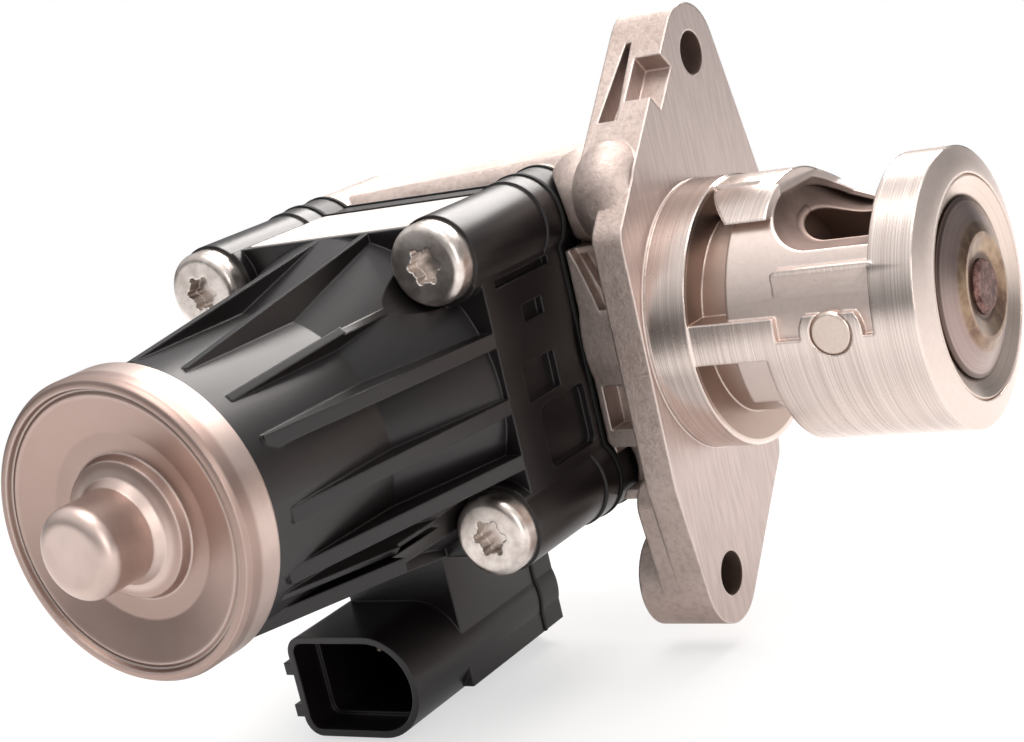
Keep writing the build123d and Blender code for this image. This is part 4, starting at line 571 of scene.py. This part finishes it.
# ---------------------------------------------------------------- casting
def ridge_and_bay_roof():
    """Roof of the drive bay with its ridge. At each x the section is a hat with flat sides and
    rounded corners. It stands on the bay's round cavity, whose height is the root of the cavity's
    radius squared less the distance from the motor's axis squared, or on the cover's top, and
    reaches up to a crest that slopes in two straight lines."""
    x = np.concatenate([np.linspace(-66.0, -63.0, 4), np.linspace(-62.0, -12.9, 60)])
    crest = np.interp(x, (-66.0, -63.0, -12.9), (24.5, 26.6, 28.6))
    away = np.abs(x - MOTOR_X / MM)
    cavity = np.sqrt(np.clip(CAVITY_RADIUS ** 2 - away ** 2, CAVITY_LOW ** 2, None))
    floor = np.where(x > COVER_EDGE, COVER_TOP, cavity)
    corner = RIDGE_HALF - RIDGE_CORNER
    left = arc((-corner, -RIDGE_CORNER), RIDGE_CORNER, 180, 90, 7)
    right = arc((corner, -RIDGE_CORNER), RIDGE_CORNER, 90, 0, 7)
    across = np.concatenate([[-RIDGE_HALF], left[0], right[0], [RIDGE_HALF]])
    lift = np.concatenate([[0.0], left[1], right[1], [0.0]])
    up = crest[:, None] + lift[None, :]
    up[:, 0] = floor
    up[:, -1] = floor
    y = np.broadcast_to(across, up.shape)
    return carried("roof", np.stack([np.broadcast_to(x[:, None], up.shape), y, up], axis=-1))


def ear_web():
    """Web of the upper ear above the cartridge."""
    return boxed("web", -WEB_HALF, WEB_HALF, 18.9, 29.0, -10.0, 0.0)


def crown(radius, start, end, near):
    """Top of a turned band: the part of its circle above a chord, from y = near to the web's far
    side. Its height is the root of the radius squared less y squared."""
    y = np.linspace(near, WEB_HALF, 24)
    chord = 18.6
    across = np.concatenate([y, [WEB_HALF, near]])
    up = np.concatenate([np.sqrt(radius ** 2 - y ** 2), [chord, chord]])
    return straight("crown", across, up, "x", start, end)


def window_outline():
    """Outline of the near gas window in x and z: square but for a round lower left corner."""
    round_x, round_z = arc((WINDOW_START + WINDOW_ROUND, WINDOW_BOTTOM + WINDOW_ROUND),
                           WINDOW_ROUND, 270, 180, 14)
    return (np.concatenate([[WINDOW_END], round_x, [WINDOW_START, WINDOW_END]]),
            np.concatenate([[WINDOW_BOTTOM], round_z, [WINDOW_TOP, WINDOW_TOP]]))


def window_room():
    """Room behind the windows: the near window's outline carried across the cartridge, kept
    inside a circle that leaves the neck's wall."""
    through = straight("through", *window_outline(), "y", -PAST, PAST)
    turn = np.radians(np.linspace(0, 360, 97)[:-1])
    inside = straight("inside", ROOM_RADIUS * np.cos(turn), ROOM_RADIUS * np.sin(turn),
                      "x", 18.0, 36.0)
    return combined(through, "INTERSECT", inside)


def ellipsoid(name, middle, radii):
    """Closed ellipsoid: middle plus radii times the cosines and sines of turn and tilt."""
    turn = np.radians(np.linspace(0, 360, 49)[:-1])
    tilt = np.radians(np.linspace(-89.5, 89.5, 25))
    ring = np.cos(tilt)[:, None]
    x = middle[0] + radii[0] * ring * np.cos(turn)
    y = middle[1] + radii[1] * ring * np.sin(turn)
    z = np.broadcast_to(middle[2] + radii[2] * np.sin(tilt)[:, None], x.shape)
    return carried(name, np.stack([x, y, z], axis=-1))


def dome_side():
    """Side of the domed boss next to the ear: a ball cut to the ear's web."""
    radius = 7.4
    ball = ellipsoid("ball", (-11.5, -7.0, 22.0), (radius, radius, radius))
    return combined(ball, "INTERSECT", boxed("box", -7.5, 7.5, 19.5, 29.5, -13.05, -6.0))


def dome_front():
    """Domed bulge on the ear's flank: an ellipsoid cut off just behind the mounting face."""
    ball = ellipsoid("bulge", (-5.2, -11.2, 21.8), (6.6, 7.0, 8.4))
    return combined(ball, "INTERSECT", boxed("box", -18.0, 0.0, 10.0, 32.0, -13.0, -0.3))


def neck_sleeve():
    """Neck from the upper pockets to the ring: a sector of a ring, open below; the windows' room
    then clears its inside."""
    start, end = -32, 212
    outer = arc((0.0, 0.0), NECK_RADIUS, start, end, 100)
    inner = arc((0.0, 0.0), CORE_RADIUS, end, start, 80)
    return straight("neck", np.concatenate([outer[0], inner[0]]),
                    np.concatenate([outer[1], inner[1]]), "x", NECK_START, NECK_END)


def near_window():
    """Opening of the near window through the neck's wall."""
    return straight("near", *window_outline(), "y", -PAST, 0.5)


def top_opening():
    """Cut over the top of the neck, falling away in a slant along the far wall's rim."""
    across = np.array([18.0, 18.2, 19.6, 21.4, 24.7, WINDOW_END, WINDOW_END])
    up = np.array([21.8, 18.4, 15.9, 13.7, 11.8, 11.8, 21.8])
    return straight("top", across, up, "y", -6.0, PAST)


def merged_copy(node, name):
    """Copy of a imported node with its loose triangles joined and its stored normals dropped."""
    mesh = frame["nodes"][node].data.copy()
    if "custom_normal" in mesh.attributes:
        mesh.attributes.remove(mesh.attributes["custom_normal"])
    work = bmesh.new()
    work.from_mesh(mesh)
    bmesh.ops.remove_doubles(work, verts=work.verts, dist=1e-6)
    work.to_mesh(mesh)
    work.free()
    item = bpy.data.objects.new(name, mesh)
    bpy.context.collection.objects.link(item)
    return item


def make_casting():
    """The housing's casting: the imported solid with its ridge, roof, ear and windows completed."""
    item = merged_copy("valve_housing", "valve_casting")
    for part in (ridge_and_bay_roof(), ear_web(), dome_side(), dome_front(), neck_sleeve(),
                 crown(PILOT_RADIUS, -0.5, 7.0, -WEB_HALF),
                 crown(CARTRIDGE_RADIUS, 6.5, 15.2, -4.0)):
        combined(item, "UNION", part)
    for part in (near_window(), window_room(), top_opening()):
        combined(item, "DIFFERENCE", part)
    surfaced(item, "cast_metal", angle=0.5)
    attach(item, "housing")
    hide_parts("valve_housing")


def make_spring():
    """Return spring: a copy of the imported coil with its finish and smooth shading, its placement
    baked into its mesh."""
    item = merged_copy("return_spring", "coil_spring")
    surfaced(item, "spring_steel", angle=0.9)
    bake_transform(item)
    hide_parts("return_spring")


make_casting()
make_spring()


# ---------------------------------------------------------------- camera
def make_camera():
    """Camera from its axes in the object's frame: right, up and back, then its place."""
    right = Vector((0.82319065, 0.52179197, -0.22380862))
    up = Vector((0.06861949, 0.29986871, 0.95150939))
    back = Vector((0.56360316, -0.79863127, 0.21104402))
    focal, width = 2100.0, 1024.0   # in pixels
    data = bpy.data.cameras.new("camera")
    data.sensor_width = 36.0
    data.lens = focal / width * data.sensor_width
    data.clip_start = 0.01
    camera = bpy.data.objects.new("camera", data)
    turn = Matrix((right, up, back)).transposed().to_4x4()
    camera.matrix_world = Matrix.Translation((0.15661, -0.27743, 0.06663)) @ turn
    bpy.context.collection.objects.link(camera)
    bpy.context.scene.camera = camera


make_camera()


# ---------------------------------------------------------------- floor, lights and world
def lamp(name, place, target, size, watts, colour):
    """Rectangular area lamp at a place, turned towards a target."""
    data = bpy.data.lights.new(name, "AREA")
    data.shape = "RECTANGLE"
    data.size, data.size_y = size
    data.energy = watts
    data.color = colour
    item = bpy.data.objects.new(name, data)
    item.location = place
    item.rotation_euler = (Vector(target) - Vector(place)).to_track_quat("-Z", "Y").to_euler()
    bpy.context.collection.objects.link(item)


MIRRORED = 0.40             # how much of the white floor's glow shows in mirrors


def floor_white():
    """White floor: shaded by the object, and paler to the camera and to mirrors the farther off."""
    material = bpy.data.materials.new("floor_white")
    material.use_nodes = True
    tree = material.node_tree
    shader = tree.nodes["Principled BSDF"]
    shader.inputs["Base Color"].default_value = (0.93, 0.93, 0.93, 1.0)
    shader.inputs["Roughness"].default_value = 0.95
    white = tree.nodes.new("ShaderNodeEmission")
    white.inputs["Color"].default_value = (1.0, 1.0, 1.0, 1.0)
    blend = tree.nodes.new("ShaderNodeMixShader")
    place = tree.nodes.new("ShaderNodeTexCoord")
    length = tree.nodes.new("ShaderNodeVectorMath")
    length.operation = "LENGTH"
    far = tree.nodes.new("ShaderNodeMapRange")
    for name, value in (("From Min", 0.10), ("From Max", 0.35), ("To Min", 0.62), ("To Max", 1.0)):
        far.inputs[name].default_value = value
    seen = seen_directly(tree)
    share = tree.nodes.new("ShaderNodeMath")
    share.operation = "MULTIPLY"
    tree.links.new(place.outputs["Object"], length.inputs[0])
    tree.links.new(length.outputs["Value"], far.inputs["Value"])
    tree.links.new(far.outputs[0], share.inputs[0])
    tree.links.new(seen, share.inputs[1])
    tree.links.new(share.outputs[0], blend.inputs[0])
    tree.links.new(shader.outputs[0], blend.inputs[1])
    tree.links.new(white.outputs[0], blend.inputs[2])
    tree.links.new(blend.outputs[0], tree.nodes["Material Output"].inputs["Surface"])
    return material


def seen_directly(tree):
    """1 for rays from the camera, some for mirrors and glass, 0 for light on the object."""
    path = tree.nodes.new("ShaderNodeLightPath")
    total = path.outputs["Is Camera Ray"]
    for name in ("Is Glossy Ray", "Is Transmission Ray"):
        share = tree.nodes.new("ShaderNodeMath")
        share.operation = "MULTIPLY_ADD"
        share.inputs[1].default_value = MIRRORED
        tree.links.new(path.outputs[name], share.inputs[0])
        tree.links.new(total, share.inputs[2])
        total = share.outputs[0]
    return total


def make_floor():
    """Flat floor just under the object, so wide that its edge is never seen."""
    half = 40.0
    low = cad_box[0].z - 0.0005
    corners = [(-half, -half, low), (half, -half, low), (half, half, low), (-half, half, low)]
    mesh = bpy.data.meshes.new("floor")
    mesh.from_pydata(corners, [], [(0, 1, 2, 3)])
    mesh.materials.append(floor_white())
    item = bpy.data.objects.new("floor", mesh)
    bpy.context.collection.objects.link(item)


def make_world():
    """Room round the floor: plain white to the camera; as a light and in mirrors, pale overhead
    and dimmer towards the walls."""
    world = bpy.data.worlds.new("studio")
    bpy.context.scene.world = world
    world.use_nodes = True
    tree = world.node_tree
    back = tree.nodes["Background"]
    back.inputs["Color"].default_value = (1.0, 1.0, 1.0, 1.0)
    direction = tree.nodes.new("ShaderNodeTexCoord")
    split = tree.nodes.new("ShaderNodeSeparateXYZ")
    overhead = tree.nodes.new("ShaderNodeMapRange")
    overhead.interpolation_type = "SMOOTHSTEP"
    for name, value in (("From Min", 0.0), ("From Max", 0.75), ("To Min", 0.13), ("To Max", 0.95)):
        overhead.inputs[name].default_value = value
    path = tree.nodes.new("ShaderNodeLightPath")
    strength = tree.nodes.new("ShaderNodeMath")
    strength.operation = "MAXIMUM"
    tree.links.new(direction.outputs["Generated"], split.inputs[0])
    tree.links.new(split.outputs["Z"], overhead.inputs["Value"])
    tree.links.new(path.outputs["Is Camera Ray"], strength.inputs[0])
    tree.links.new(overhead.outputs[0], strength.inputs[1])
    tree.links.new(strength.outputs[0], back.inputs["Strength"])


make_floor()
make_world()
warm = (1.0, 0.95, 0.92)
lamp("back", (-0.08, 0.55, 0.45), (-0.02, -0.03, 0.0), (0.55, 0.22), 4.6, warm)
lamp("top", (0.05, -0.10, 0.75), (0.0, -0.03, 0.0), (0.50, 0.50), 3.2, warm)
lamp("side", (0.60, -0.45, 0.20), (0.0, -0.02, 0.0), (0.22, 0.45), 1.5, warm)

bpy.context.scene.view_settings.view_transform = "Standard"
